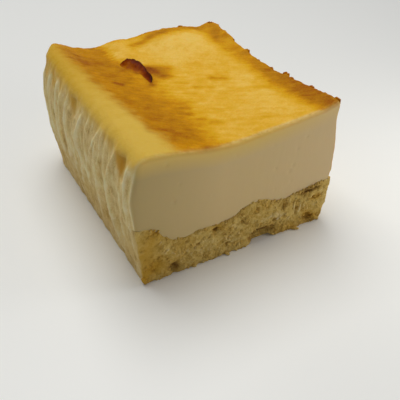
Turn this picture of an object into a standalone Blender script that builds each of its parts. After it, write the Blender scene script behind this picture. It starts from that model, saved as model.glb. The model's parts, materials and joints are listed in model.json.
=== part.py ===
"""An end piece of baked cheesecake: a browned cheese filling on a crumbly biscuit base.

It was baked in a narrow tin lined with creased paper. The front (-Y) is a clean knife cut. The other
three sides bulge softly and keep the pleats of the lining.

Lengths are in metres and +Z is up. The design starts at the near bottom corner of the cut, with X
along the cut and Y away from it. The finished piece is moved so that the origin is at the middle of
its underside.
"""

from dataclasses import dataclass

import bmesh
import bpy
import numpy as np

# Driving dimensions.
WIDTH = 0.075  # along the cut
LEFT_LENGTH = 0.0915  # from the cut to the back, on the left
RIGHT_LENGTH = 0.0855  # the back runs a little askew, so the right side is shorter
HEIGHT = 0.050  # of most of the rim
LAYER_GAP = 0.0003  # between the filling and the base
DESIGN_CENTRE = (0.0374, 0.0473)  # the middle of the plan, which becomes the origin

# Rounded corners of the plan, as radii: at the cut, and where the lining turned the tin's corners.
CUT_CORNER = 0.0006
BACK_LEFT_CORNER = 0.011
BACK_RIGHT_CORNER = 0.0045

# Rounded top edges, as radii.
LEFT_SHOULDER = 0.003
RIGHT_SHOULDER = 0.001
BACK_SHOULDER = 0.0015

# Heights of the top, as (x, z) along the cut, along the middle and along the back.
TOP_AT_CUT = (
    (0.0000, 0.0494),
    (0.0050, 0.0494),
    (0.0147, 0.0481),
    (0.0260, 0.0464),
    (0.0340, 0.0462),
    (0.0470, 0.0473),
    (0.0636, 0.0489),
    (0.0710, 0.0500),
    (0.0750, 0.0512),
)
TOP_IN_MIDDLE = (
    (0.0000, 0.0496),
    (0.0050, 0.0495),
    (0.0100, 0.0484),
    (0.0160, 0.0470),
    (0.0240, 0.0463),
    (0.0400, 0.0460),
    (0.0600, 0.0465),
    (0.0750, 0.0475),
)
TOP_AT_BACK = (
    (0.0000, 0.0512),
    (0.0050, 0.0508),
    (0.0130, 0.0474),
    (0.0215, 0.0460),
    (0.0310, 0.0482),
    (0.0360, 0.0479),
    (0.0470, 0.0500),
    (0.0620, 0.0502),
    (0.0690, 0.0492),
    (0.0750, 0.0520),
)
MIDDLE_STARTS = 0.038  # where the middle's heights have replaced those at the cut
MIDDLE_ENDS = 0.050  # where they begin to give way to those at the back

# Lumps on the rim over the right side.
RIM_LUMP_REACH = 0.004  # how far in from the side they go

# The blister on the top, as (x, y) along its crest. It swells at its back end and tails off forwards.
BLISTER = ((0.0235, 0.0665), (0.0270, 0.0645), (0.0280, 0.0570), (0.0268, 0.0470))
BLISTER_HEIGHT = 0.0016
BLISTER_HALF_WIDTH = 0.0026
BLISTER_SWELL = 0.15  # shares of its length that it takes to swell and to tail off
BLISTER_TAIL = 0.50

# The boundary between base and filling: (x, z) along the cut, and its slow waves further in.
BASE_TOP_AT_CUT = (
    (-0.0040, 0.0226),
    (0.0030, 0.0230),
    (0.0058, 0.0207),
    (0.0086, 0.0172),
    (0.0115, 0.0153),
    (0.0152, 0.0147),
    (0.0205, 0.0155),
    (0.0346, 0.0161),
    (0.0380, 0.0181),
    (0.0430, 0.0194),
    (0.0470, 0.0193),
    (0.0530, 0.0163),
    (0.0610, 0.0166),
    (0.0710, 0.0182),
    (0.0790, 0.0190),
)
BASE_TOP_INSIDE = 0.0175
BASE_TOP_WAVE = 0.0012
BASE_TOP_WAVE_LENGTHS = (0.045, 0.058)  # along X and along Y
CUT_PROFILE_REACH = 0.020  # how far in the profile at the cut carries on

# How far each side stands out at a height, as (z, distance).
LEFT_PROFILE = (
    (0.000, -0.0002),
    (0.008, 0.0006),
    (0.018, 0.0018),
    (0.027, 0.0026),
    (0.034, 0.0030),
    (0.040, 0.0025),
    (0.046, 0.0011),
    (0.051, 0.0000),
)
RIGHT_PROFILE = (
    (0.000, 0.0006),
    (0.008, 0.0014),
    (0.018, 0.0018),
    (0.028, 0.0018),
    (0.036, 0.0009),
    (0.044, -0.0002),
    (0.051, -0.0004),
)
BACK_PROFILE = (
    (0.000, 0.0000),
    (0.014, 0.0016),
    (0.028, 0.0024),
    (0.040, 0.0016),
    (0.051, 0.0000),
)
LEFT_SLIMS_BY = 0.4  # share of its profile that the left side loses at the back corner
LEFT_SLIMS_OVER = 0.020
BASE_LIP = 0.0009  # how far the base stands out under the filling on the right
BASE_LIP_HEIGHT = 0.008  # where the lip is full
RELIEF_REACH = 0.012  # how far in from a side its profile and pleats still move the top

# Pleats that the lining left.
PLEAT_SPACING = 0.0098  # on the back and the right
PLEAT_STRAY = 0.28  # share of the spacing that a pleat there may be out of place
PLEAT_HEIGHT = 0.0012
PLEAT_HEIGHT_SPREAD = 0.0004
PLEAT_HALF_WIDTH = 0.0026
PLEAT_BOW = 0.0045  # how far a pleat bows backwards at mid height
PLEAT_AT_TOP = 0.35  # share of a pleat's height that is left at the top edge
PLEAT_AT_FOOT = 0.20  # and at the foot
TOP_ZONE = (0.040, 0.049)  # heights over which pleats fade towards the top edge
FOOT_ZONE = 0.014  # height over which they grow from the foot

# The hollow that broke away under the base at the cut.
HOLLOW_MIDDLE = 0.048
HOLLOW_HALF_LENGTH = 0.0065
HOLLOW_HEIGHT = 0.0026
HOLLOW_DEPTH = 0.0035

# How finely each layer is cut up before it is shaped.
CELL = 0.0031
FILLING_STEPS = 10
BASE_STEPS = 4
EDGE_ANGLES = (0.0, 30.0, 60.0, 90.0)  # degrees round a rounded edge
SHARP_ANGLE = 50.0  # degrees

FILLING_COLOUR = (0.78, 0.58, 0.28, 1.0)
FILLING_ROUGHNESS = 0.45
BASE_COLOUR = (0.40, 0.26, 0.08, 1.0)
BASE_ROUGHNESS = 0.85


@dataclass(frozen=True)
class Ridge:
    """A soft ridge: its place along a side, how high it stands and its half width."""

    place: float
    height: float
    half_width: float

    def at(self, along):
        """Height of the ridge at a place along the side."""
        return self.height * np.exp(-(((along - self.place) / self.half_width) ** 2))


LEFT_PLEATS = (
    Ridge(0.0025, 0.0010, 0.0026),
    Ridge(0.0120, 0.0015, 0.0026),
    Ridge(0.0235, 0.0013, 0.0024),
    Ridge(0.0330, 0.0009, 0.0022),
    Ridge(0.0415, 0.0014, 0.0026),
    Ridge(0.0510, 0.0009, 0.0022),
    Ridge(0.0590, 0.0013, 0.0026),
    Ridge(0.0690, 0.0010, 0.0024),
    Ridge(0.0780, 0.0014, 0.0028),
)
RIM_LUMPS = (
    Ridge(0.0290, 0.0009, 0.0022),
    Ridge(0.0555, 0.0010, 0.0022),
    Ridge(0.0700, 0.0007, 0.0030),
)


def ease(t):
    """A smooth rise from 0 to 1 as t goes from 0 to 1, flat beyond both ends."""
    t = np.clip(t, 0.0, 1.0)
    return t * t * (3.0 - 2.0 * t)


def curve_through(points, x):
    """Height at x of the smooth curve through a few (x, height) points."""
    places, heights = np.array(points).T
    slopes = np.gradient(heights, places)
    i = np.clip(np.searchsorted(places, x) - 1, 0, len(places) - 2)
    span = places[i + 1] - places[i]
    t = np.clip((x - places[i]) / span, 0.0, 1.0)
    start_pull = t * (1.0 - t) ** 2 * span * slopes[i]
    end_pull = t * t * (1.0 - t) * span * slopes[i + 1]
    return heights[i] + (heights[i + 1] - heights[i]) * ease(t) + start_pull - end_pull


def round_drop(distance, radius):
    """How far a rounded edge has fallen at a distance in from the side."""
    t = 1.0 - np.clip(distance / radius, 0.0, 1.0)
    return radius * (1.0 - np.sqrt(1.0 - t * t))


def distance_to_path(x, y, path):
    """Shortest distance from each point to a path, and how far along the path that is, from 0 to 1."""
    corners = np.array(path)
    nearest = np.full(np.shape(x), np.inf)
    along = np.zeros(np.shape(x))
    steps = len(corners) - 1
    for step in range(steps):
        (ax, ay), (bx, by) = corners[step], corners[step + 1]
        share = ((x - ax) * (bx - ax) + (y - ay) * (by - ay)) / ((bx - ax) ** 2 + (by - ay) ** 2)
        share = np.clip(share, 0.0, 1.0)
        distance = np.hypot(x - ax - share * (bx - ax), y - ay - share * (by - ay))
        closer = distance < nearest
        nearest = np.where(closer, distance, nearest)
        along = np.where(closer, (step + share) / steps, along)
    return nearest, along


def blister_height(x, y):
    """The blister's rise over the top."""
    distance, along = distance_to_path(x, y, BLISTER)
    fullness = ease(along / BLISTER_SWELL) * ease((1.0 - along) / BLISTER_TAIL)
    return BLISTER_HEIGHT * fullness * np.exp(-((distance / BLISTER_HALF_WIDTH) ** 2))


def rim_lump_height(x, y):
    """The rise of the lumps on the rim over the right side."""
    near_side = ease(1.0 - (WIDTH - x) / RIM_LUMP_REACH)
    return near_side * sum(lump.at(y) for lump in RIM_LUMPS)


def top_height(x, y):
    """Height of the browned top before its edges are rounded."""
    at_cut = curve_through(TOP_AT_CUT, x)
    in_middle = curve_through(TOP_IN_MIDDLE, x)
    at_back = curve_through(TOP_AT_BACK, x)
    to_middle = ease(y / MIDDLE_STARTS)
    to_back = ease((y - MIDDLE_ENDS) / (RIGHT_LENGTH - MIDDLE_ENDS))
    height = at_cut + (in_middle - at_cut) * to_middle
    height = height + (at_back - height) * to_back
    return height + blister_height(x, y) + rim_lump_height(x, y)


def boundary_height(x, y):
    """Height of the boundary between the base and the filling."""
    at_cut = curve_through(BASE_TOP_AT_CUT, x)
    turns_x, turns_y = (2.0 * np.pi / length for length in BASE_TOP_WAVE_LENGTHS)
    inside = BASE_TOP_INSIDE + BASE_TOP_WAVE * np.sin(x * turns_x) * np.cos(y * turns_y)
    return at_cut + (inside - at_cut) * ease(y / CUT_PROFILE_REACH)


def underside_height(x, y):
    """Height of the underside: flat, but for the hollow that broke away at the cut."""
    along = ease(2.0 * (1.0 - abs(x - HOLLOW_MIDDLE) / HOLLOW_HALF_LENGTH))
    return HOLLOW_HEIGHT * along * ease(1.0 - y / HOLLOW_DEPTH)


def pleat_relief(along, z, pleats):
    """How far a side's pleats stand out. They are shallower at the top edge and at the foot."""
    towards_top = ease((z - TOP_ZONE[0]) / (TOP_ZONE[1] - TOP_ZONE[0]))
    from_foot = ease(z / FOOT_ZONE)
    strength = 1.0 + (PLEAT_AT_TOP - 1.0) * towards_top
    strength = strength * (PLEAT_AT_FOOT + (1.0 - PLEAT_AT_FOOT) * from_foot)
    bow = PLEAT_BOW * np.sin(np.pi * np.clip(z / HEIGHT, 0.0, 1.0))
    return strength * sum(pleat.at(along - bow) for pleat in pleats)


def uneven_pleats(length):
    """Pleats for a whole side, unevenly spaced and of uneven height."""
    pleats = []
    for k in range(int(length / PLEAT_SPACING)):
        place = PLEAT_SPACING * (k + 0.5 + PLEAT_STRAY * np.sin(2.4 * k))
        height = PLEAT_HEIGHT + PLEAT_HEIGHT_SPREAD * np.sin(1.7 * k + 0.8)
        pleats.append(Ridge(place, height, PLEAT_HALF_WIDTH))
    return tuple(pleats)


def side_fade(distance):
    """Share of a side's relief that still moves a point this far in from the side."""
    return (1.0 - np.clip(distance / RELIEF_REACH, 0.0, 1.0)) ** 2


def round_corner(x, y, corner, radius):
    """Moves the points in a square at a corner of the plan so that the square becomes a quarter disc."""
    towards_x = 1.0 if corner[0] > 0.0 else -1.0
    towards_y = 1.0 if corner[1] > 0.0 else -1.0
    centre_x = corner[0] - towards_x * radius
    centre_y = corner[1] - towards_y * radius
    a = np.clip((x - centre_x) * towards_x / radius, 0.0, 1.0)
    b = np.clip((y - centre_y) * towards_y / radius, 0.0, 1.0)
    inside = (a > 0.0) & (b > 0.0)
    round_x = centre_x + towards_x * radius * a * np.sqrt(1.0 - b * b / 2.0)
    round_y = centre_y + towards_y * radius * b * np.sqrt(1.0 - a * a / 2.0)
    return np.where(inside, round_x, x), np.where(inside, round_y, y)


def plan(across, along):
    """The plan's outline: a rectangle with rounded corners whose back is a little askew."""
    x, y = across, along
    for corner, radius in (
        ((0.0, 0.0), CUT_CORNER),
        ((WIDTH, 0.0), CUT_CORNER),
        ((0.0, LEFT_LENGTH), BACK_LEFT_CORNER),
        ((WIDTH, LEFT_LENGTH), BACK_RIGHT_CORNER),
    ):
        x, y = round_corner(x, y, corner, radius)
    shortening = (1.0 - RIGHT_LENGTH / LEFT_LENGTH) * np.clip(x / WIDTH, 0.0, 1.0)
    return x, y * (1.0 - shortening)


def rounded_top(across, along, x, y):
    """Height of the top with its edges rounded over."""
    drop = round_drop(across, LEFT_SHOULDER)
    drop = drop + round_drop(WIDTH - across, RIGHT_SHOULDER)
    drop = drop + round_drop(LEFT_LENGTH - along, BACK_SHOULDER)
    return top_height(x, y) - drop


def with_relief(across, along, x, y, z, lip):
    """Stands the three baked sides out by their profiles, pleats and the base's lip."""
    from_back = LEFT_LENGTH - along
    slimming = 1.0 - LEFT_SLIMS_BY * ease(1.0 - from_back / LEFT_SLIMS_OVER)
    left = curve_through(LEFT_PROFILE, z) * slimming + pleat_relief(along, z, LEFT_PLEATS)
    right = curve_through(RIGHT_PROFILE, z) + pleat_relief(along, z, uneven_pleats(LEFT_LENGTH))
    right = right + lip * ease(z / BASE_LIP_HEIGHT)
    back = curve_through(BACK_PROFILE, z) + pleat_relief(across, z, uneven_pleats(WIDTH))
    x = x - left * side_fade(across) + right * side_fade(WIDTH - across)
    return x, y + back * side_fade(from_back)


def filling_points(grid):
    """The filling's points, from those of a plain box that is WIDTH by LEFT_LENGTH by 1."""
    across, along, share = grid.T
    x, y = plan(across, along)
    low = boundary_height(x, y) + LAYER_GAP / 2.0
    z = low + (rounded_top(across, along, x, y) - low) * share
    x, y = with_relief(across, along, x, y, z, lip=0.0)
    return x, y, z


def base_points(grid):
    """The base's points, from those of the same box."""
    across, along, share = grid.T
    x, y = plan(across, along)
    low = underside_height(x, y)
    z = low + (boundary_height(x, y) - LAYER_GAP / 2.0 - low) * share
    x, y = with_relief(across, along, x, y, z, lip=BASE_LIP)
    return x, y, z


def places_with_round_edges(length, first_radius, last_radius):
    """Where to cut a length: close together over its two rounded edges and CELL apart between them."""
    quarter = 1.0 - np.cos(np.radians(EDGE_ANGLES))
    first = first_radius * quarter
    last = length - last_radius * quarter[::-1]
    count = round((last[0] - first[-1]) / CELL)
    between = np.linspace(first[-1], last[0], count + 1)
    return np.concatenate((first[:-1], between, last[1:]))


def gridded_box(steps):
    """A closed box from a cube, its faces cut into a grid with so many steps up."""
    box = bmesh.new()
    bmesh.ops.create_cube(box, size=1.0)
    bmesh.ops.translate(box, verts=box.verts, vec=(0.5, 0.5, 0.5))
    bmesh.ops.scale(box, verts=box.verts, vec=(WIDTH, LEFT_LENGTH, 1.0))
    across = places_with_round_edges(WIDTH, LEFT_SHOULDER, RIGHT_SHOULDER)
    along = places_with_round_edges(LEFT_LENGTH, CUT_CORNER, BACK_SHOULDER)
    up = np.linspace(0.0, 1.0, steps + 1)
    for axis, places in enumerate((across, along, up)):
        normal = np.eye(3)[axis]
        for place in places[1:-1]:
            geometry = box.verts[:] + box.edges[:] + box.faces[:]
            bmesh.ops.bisect_plane(box, geom=geometry, plane_co=normal * place, plane_no=normal)
    return box


def plain_material(name, colour, roughness):
    """A Principled material of one colour."""
    material = bpy.data.materials.new(name)
    material.use_nodes = True
    shader = material.node_tree.nodes["Principled BSDF"]
    shader.inputs["Base Color"].default_value = colour
    shader.inputs["Roughness"].default_value = roughness
    shader.inputs["Metallic"].default_value = 0.0
    return material


def add_layer(name, collection, steps, points_of, material):
    """Shapes a gridded box by one of the point functions and adds it as a named object."""
    box = gridded_box(steps)
    grid = np.array([tuple(vertex.co) for vertex in box.verts])
    x, y, z = points_of(grid)
    placed = np.stack((x - DESIGN_CENTRE[0], y - DESIGN_CENTRE[1], z), axis=1)
    for vertex, place in zip(box.verts, placed):
        vertex.co = place
    # The shorter diagonal is the same one on both sides of the boundary, so the gap stays open.
    bmesh.ops.triangulate(box, faces=box.faces, quad_method="SHORT_EDGE")
    bmesh.ops.recalc_face_normals(box, faces=box.faces)
    mesh = bpy.data.meshes.new(name)
    box.to_mesh(mesh)
    box.free()
    mesh.shade_smooth()
    mesh.set_sharp_from_angle(angle=np.radians(SHARP_ANGLE))
    mesh.materials.append(material)
    collection.objects.link(bpy.data.objects.new(name, mesh))


def build():
    """Clears the scene and makes both layers."""
    for old in list(bpy.data.objects):
        bpy.data.objects.remove(old)
    collection = bpy.data.collections.new("cheesecake")
    bpy.context.scene.collection.children.link(collection)
    biscuit = plain_material("biscuit_crumb", BASE_COLOUR, BASE_ROUGHNESS)
    cheese = plain_material("baked_cheese", FILLING_COLOUR, FILLING_ROUGHNESS)
    add_layer("biscuit_base", collection, BASE_STEPS, base_points, biscuit)
    add_layer("cheese_filling", collection, FILLING_STEPS, filling_points, cheese)


build()
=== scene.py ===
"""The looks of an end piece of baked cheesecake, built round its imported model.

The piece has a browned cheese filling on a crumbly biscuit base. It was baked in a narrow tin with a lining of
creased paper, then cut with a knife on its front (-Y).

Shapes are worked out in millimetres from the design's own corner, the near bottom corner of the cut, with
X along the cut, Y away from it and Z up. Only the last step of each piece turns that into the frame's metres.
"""

import json
import logging
import math
from collections.abc import Callable, Iterator, Sequence
from contextlib import contextmanager
from dataclasses import dataclass
from enum import Enum
from functools import partial
from typing import ClassVar

import bpy
import numpy as np
from mathutils import Euler, Matrix, Vector, noise

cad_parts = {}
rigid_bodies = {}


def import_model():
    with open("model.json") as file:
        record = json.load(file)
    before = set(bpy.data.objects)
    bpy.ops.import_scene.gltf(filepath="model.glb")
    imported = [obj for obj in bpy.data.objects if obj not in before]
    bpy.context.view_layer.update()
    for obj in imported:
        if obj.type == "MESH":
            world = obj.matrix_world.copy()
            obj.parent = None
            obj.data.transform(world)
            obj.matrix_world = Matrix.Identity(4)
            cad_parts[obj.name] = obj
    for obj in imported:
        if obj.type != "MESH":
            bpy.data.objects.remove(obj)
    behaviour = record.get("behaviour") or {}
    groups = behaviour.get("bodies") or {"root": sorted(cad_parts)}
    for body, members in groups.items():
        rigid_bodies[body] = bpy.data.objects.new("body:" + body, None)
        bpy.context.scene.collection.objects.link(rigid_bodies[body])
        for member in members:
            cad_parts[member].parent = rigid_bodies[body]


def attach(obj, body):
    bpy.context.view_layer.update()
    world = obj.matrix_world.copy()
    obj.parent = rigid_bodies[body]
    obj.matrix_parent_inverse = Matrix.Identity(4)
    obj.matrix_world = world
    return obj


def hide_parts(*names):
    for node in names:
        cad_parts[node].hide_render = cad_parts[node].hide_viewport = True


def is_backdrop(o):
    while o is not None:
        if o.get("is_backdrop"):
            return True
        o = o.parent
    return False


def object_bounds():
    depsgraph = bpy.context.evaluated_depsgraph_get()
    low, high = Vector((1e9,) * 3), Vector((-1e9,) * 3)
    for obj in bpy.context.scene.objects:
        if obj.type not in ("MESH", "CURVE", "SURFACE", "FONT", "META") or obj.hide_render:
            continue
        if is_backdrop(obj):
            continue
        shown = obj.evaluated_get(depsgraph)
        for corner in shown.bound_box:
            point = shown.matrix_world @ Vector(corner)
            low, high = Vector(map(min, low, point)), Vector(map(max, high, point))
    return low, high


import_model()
CAD_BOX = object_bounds()

log = logging.getLogger("cheesecake")

Array = np.ndarray
Range = tuple[float, float]
Triple = tuple[float, float, float]
Points = Sequence[tuple[float, float]]
Stops = Sequence[tuple[float, str]]
Grain = tuple[Sequence[float], Sequence[float], Sequence[float], float]
Object, Mesh, Material = bpy.types.Object, bpy.types.Mesh, bpy.types.Material
Tree, Socket = bpy.types.NodeTree, bpy.types.NodeSocket
AddNode = Callable[..., Socket]
Waves = Sequence[tuple[float, float | Triple, float]]

MM = 0.001
DESIGN_CENTRE = (37.4, 47.3)  # the middle of the plan, which is the frame's origin
ROOT = "root"
MOST_CUTS = 100  # the most that one subdivision makes
HIDDEN_SHARE = 0.05  # share of the triangles that a hidden face keeps
TOUCH = 1e-6  # a share of a height this close to 0 or 1 counts as it
STRETCH = (0.7, 1.4)  # a crumb's half sizes, over those of a plain grain
FULL_TURN = 6.28  # in radians, as the crumbs' turns are drawn
UNDER, OVER = 6, 7  # a Mix node's two colour inputs
COLOURS = {"out": 2, "data_type": "RGBA"}  # what makes a Mix node mix colours


class Slot(Enum):
    """The record's material slots."""

    CHEESE = "browned_cheese"
    BISCUIT = "biscuit_crumb"


class Side(Enum):
    """The three sides that stood against the lining."""

    LEFT = "left"
    RIGHT = "right"
    BACK = "back"


# Small tools


def each(kind: type, table: Sequence[tuple]) -> tuple:
    """Makes an object of one kind from each row of a table."""
    return tuple(kind(*row) for row in table)


def ease(t: Array) -> Array:
    """A smooth rise from 0 to 1 as t goes from 0 to 1, flat beyond both ends."""
    t = np.clip(t, 0, 1)
    return t * t * (3 - 2 * t)


def between(value: Array, start: float, end: float) -> Array:
    """A smooth rise from 0 to 1 as a value goes from start to end, which may lie below start."""
    return ease((value - start) / (end - start))


def curve_through(points: Points, x: Array) -> Array:
    """Follows the smooth curve through a few points.

    Args:
        points: (place, height) pairs in rising order of place.
        x: The places to read.

    Returns:
        The curve's heights at x.
    """
    places, heights = np.array(points).T
    slopes = np.gradient(heights, places)
    i = np.clip(np.searchsorted(places, x) - 1, 0, len(places) - 2)
    span = places[i + 1] - places[i]
    t = np.clip((x - places[i]) / span, 0, 1)
    start_pull = t * (1 - t) ** 2 * span * slopes[i]
    end_pull = t * t * (1 - t) * span * slopes[i + 1]
    return heights[i] + (heights[i + 1] - heights[i]) * ease(t) + start_pull - end_pull


def bell(distance: Array, half_width: Array | float) -> Array:
    """A soft patch's strength: 1 in its middle and near 0 beyond twice its half width."""
    return np.exp(-((distance / half_width) ** 2))


def round_drop(distance: Array, radius: float) -> Array:
    """How far a rounded edge has fallen at a distance in from the side."""
    t = 1 - np.clip(distance / radius, 0, 1)
    return radius * (1 - np.sqrt(1 - t * t))


def distance_to_path(x: Array, y: Array, path: Points) -> tuple[Array, Array]:
    """Measures points against a path of straight steps.

    Args:
        x: The points' X.
        y: The points' Y.
        path: The path's corners.

    Returns:
        The distance to the path, and how far along it the nearest point is, from 0 to 1.
    """
    corners = np.array(path, float)
    nearest = np.full(np.shape(x), np.inf)
    along = np.zeros(np.shape(x))
    steps = len(corners) - 1
    for step in range(steps):
        (ax, ay), (bx, by) = corners[step], corners[step + 1]
        share = ((x - ax) * (bx - ax) + (y - ay) * (by - ay)) / ((bx - ax) ** 2 + (by - ay) ** 2)
        share = np.clip(share, 0, 1)
        distance = np.hypot(x - ax - share * (bx - ax), y - ay - share * (by - ay))
        closer = distance < nearest
        nearest = np.where(closer, distance, nearest)
        along = np.where(closer, (step + share) / steps, along)
    return nearest, along


def smooth_noise(points: Array, cell: float | Triple, shift: float = 0) -> Array:
    """Reads a smooth random field.

    Args:
        points: The points, as rows of X, Y and Z in millimetres.
        cell: The size of its features in millimetres, one for all directions or one for each.
        shift: A number that picks another such field.

    Returns:
        A value from about -1 to 1 for each point.
    """
    scaled = points / np.array(cell) + shift
    return np.array([noise.noise(place) for place in scaled.tolist()])


def packed_grains(points: Array, cell: float, shift: float = 0) -> Array:
    """Height of a surface of packed round grains: 1 on top of a grain, and 0 or less where grains meet."""
    scaled = points / cell + shift
    nearest = np.array([noise.voronoi(place)[0][0] for place in scaled.tolist()])
    return 1 - 1.6 * nearest * nearest


def layered(field: Callable[..., Array], points: Array, waves: Waves) -> Array:
    """Adds up fields of one kind, given as their share, the size of their features and their shift."""
    return sum(share * field(points, cell, shift) for share, cell, shift in waves)


def rows(*parts: Array | float) -> Array:
    """Rows of X, Y and Z, where a plain number stands for all of them."""
    return np.stack(np.broadcast_arrays(*parts), axis=1)


def linear_from_hex(code: str, alpha: float = 1) -> tuple[float, float, float, float]:
    """Turns an sRGB hex colour such as '#E8D0A0' to the linear values that Blender's sockets take."""
    channels = [int(code[i : i + 2], 16) / 255 for i in (1, 3, 5)]
    linear = [c / 12.92 if c <= 0.04045 else ((c + 0.055) / 1.055) ** 2.4 for c in channels]
    return (linear[0], linear[1], linear[2], alpha)


def fill_sockets(node: bpy.types.Node, inputs: dict | Sequence) -> None:
    """Gives a node's sockets their values, or the output sockets that feed them, by name or in their order."""
    for key, value in inputs.items() if isinstance(inputs, dict) else enumerate(inputs):
        if isinstance(value, Socket):
            node.id_data.links.new(value, node.inputs[key])
        else:
            node.inputs[key].default_value = value


def add_node(
    tree: Tree, kind: str, inputs: dict | Sequence = (), out: int | str = 0, stops: Stops = (), **settings: object
) -> Socket:
    """Adds a node to a material.

    Args:
        tree: The material's node tree.
        kind: The node's type name, without 'ShaderNode'.
        inputs: Socket name or number to a value or a feeding socket, or just the first sockets' in their order.
        out: Name or number of the output wanted.
        stops: A colour ramp's stops, as (place, sRGB hex) pairs.
        settings: The node's own properties.

    Returns:
        The new node's output socket.
    """
    node = tree.nodes.new("ShaderNode" + kind)
    for name, value in settings.items():
        setattr(node, name, value)
    fill_sockets(node, inputs)
    for number, (place, code) in enumerate(stops):
        elements = node.color_ramp.elements
        element = elements[number] if number < len(elements) else elements.new(place)
        element.position, element.color = place, linear_from_hex(code)
    return node.outputs[out]


# The shape that both layers share


@dataclass(frozen=True)
class Ridge:
    """A soft ridge: its place along a side, how high it stands and its half width."""

    place: float
    height: float
    half_width: float

    def at(self, along: Array) -> Array:
        """Height of the ridge at a place along the side."""
        return self.height * bell(along - self.place, self.half_width)


@dataclass(frozen=True)
class CakeForm:
    """The whole piece's shape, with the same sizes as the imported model."""

    width: float = 75
    left_length: float = 91.5
    right_length: float = 85.5
    back_left_corner: float = 11
    back_right_corner: float = 4.5
    left_shoulder: float = 3
    right_shoulder: float = 1
    back_shoulder: float = 1.5
    top_at_cut: Points = (
        (0, 49.4), (5, 49.4), (14.7, 48.1), (26, 46.4), (34, 46.2), (47, 47.3), (63.6, 48.9), (71, 50), (75, 51.2)
    )
    top_in_middle: Points = ((0, 49.6), (5, 49.5), (10, 48.4), (16, 47), (24, 46.3), (40, 46), (60, 46.5), (75, 47.5))
    top_at_back: Points = (
        (0, 51.2), (5, 50.8), (13, 47.4), (21.5, 46), (31, 48.2), (36, 47.9), (47, 50), (62, 50.2), (69, 49.2), (75, 52)
    )
    middle_starts: float = 38
    middle_ends: float = 50
    rim_lumps: Sequence[Ridge] = each(Ridge, ((29, 0.9, 2.2), (55.5, 1, 2.2), (70, 0.7, 3)))
    rim_lump_reach: float = 4
    base_top_at_cut: Points = (
        (-4, 22.6), (3, 23), (5.8, 20.7), (8.6, 17.2), (11.5, 15.3), (15.2, 14.7), (20.5, 15.5), (34.6, 16.1),
        (38, 18.1), (43, 19.4), (47, 19.3), (53, 16.3), (61, 16.6), (71, 18.2), (79, 19)
    )
    base_top_inside: float = 17.5
    base_top_wave: float = 1.2
    base_top_wave_lengths: Range = (45, 58)
    cut_profile_reach: float = 20
    left_profile: Points = ((0, -0.2), (8, 0.6), (18, 1.8), (27, 2.6), (34, 3), (40, 2.5), (46, 1.1), (51, 0))
    right_profile: Points = ((0, 0.6), (8, 1.4), (18, 1.8), (28, 1.8), (36, 0.9), (44, -0.2), (51, -0.4))
    back_profile: Points = ((0, 0), (14, 1.6), (28, 2.4), (40, 1.6), (51, 0))
    left_slims_by: float = 0.4
    left_slims_over: float = 20
    base_lip: float = 0.9
    base_lip_height: float = 8
    relief_reach: float = 12
    hollow_middle: float = 48
    hollow_half_length: float = 6.5
    hollow_height: float = 1.2
    hollow_depth: float = 3.5

    def top(self, x: Array, y: Array) -> Array:
        """Height of the browned top before its edges are rounded."""
        at_cut = curve_through(self.top_at_cut, x)
        in_middle = curve_through(self.top_in_middle, x)
        at_back = curve_through(self.top_at_back, x)
        height = at_cut + (in_middle - at_cut) * ease(y / self.middle_starts)
        height = height + (at_back - height) * between(y, self.middle_ends, self.right_length)
        near_side = ease(1 - (self.width - x) / self.rim_lump_reach)
        return height + near_side * sum(lump.at(y) for lump in self.rim_lumps)

    def boundary(self, x: Array, y: Array) -> Array:
        """Height of the boundary between the base and the filling."""
        at_cut = curve_through(self.base_top_at_cut, x)
        turns_x, turns_y = (2 * np.pi / length for length in self.base_top_wave_lengths)
        inside = self.base_top_inside + self.base_top_wave * np.sin(x * turns_x) * np.cos(y * turns_y)
        return at_cut + (inside - at_cut) * ease(y / self.cut_profile_reach)

    def underside(self, x: Array, y: Array) -> Array:
        """Height of the underside: flat, but for the recess that broke away at the cut."""
        along = ease(2 * (1 - abs(x - self.hollow_middle) / self.hollow_half_length))
        return self.hollow_height * along * ease(1 - y / self.hollow_depth)

    def edge_drop(self, across: Array, along: Array, cut_edge: float) -> Array:
        """How far the rounded top edges have fallen, cut_edge being the radius of the one at the cut."""
        shoulders = (self.left_shoulder, self.right_shoulder, self.back_shoulder)
        distances = self.from_sides(across, along).values()
        return round_drop(along, cut_edge) + sum(map(round_drop, distances, shoulders))

    def from_sides(self, across: Array, along: Array) -> dict[Side, Array]:
        """How far in from each papered side a place on the plain rectangle is."""
        return {Side.LEFT: across, Side.RIGHT: self.width - across, Side.BACK: self.left_length - along}

    def plan(self, across: Array, along: Array, left_cut: float, right_cut: float) -> tuple[Array, Array]:
        """Rounds the corners of the plan and sets its back askew.

        Args:
            across: Places across the plain rectangle.
            along: Places along it.
            left_cut: Radius of the corner at the left of the cut.
            right_cut: Radius of the corner at the right of the cut.

        Returns:
            X and Y.
        """
        x, y = across, along
        for corner, radius in (
            ((0, 0), left_cut), ((self.width, 0), right_cut), ((0, self.left_length), self.back_left_corner),
            ((self.width, self.left_length), self.back_right_corner)
        ):
            x, y = round_corner(x, y, corner, radius)
        shortening = (1 - self.right_length / self.left_length) * np.clip(x / self.width, 0, 1)
        return x, y * (1 - shortening)

    def profiles(self, along: Array, z: Array, lip: float) -> dict[Side, Array]:
        """How far each papered side stands out, with lip as the base's extra on the right."""
        slimming = 1 - self.left_slims_by * ease(1 - (self.left_length - along) / self.left_slims_over)
        return {
            Side.LEFT: curve_through(self.left_profile, z) * slimming,
            Side.RIGHT: curve_through(self.right_profile, z) + lip * ease(z / self.base_lip_height),
            Side.BACK: curve_through(self.back_profile, z),
        }

    def side_fade(self, distance: Array) -> Array:
        """Share of a side's relief that still moves a point this far in from the side."""
        return (1 - np.clip(distance / self.relief_reach, 0, 1)) ** 2


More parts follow.
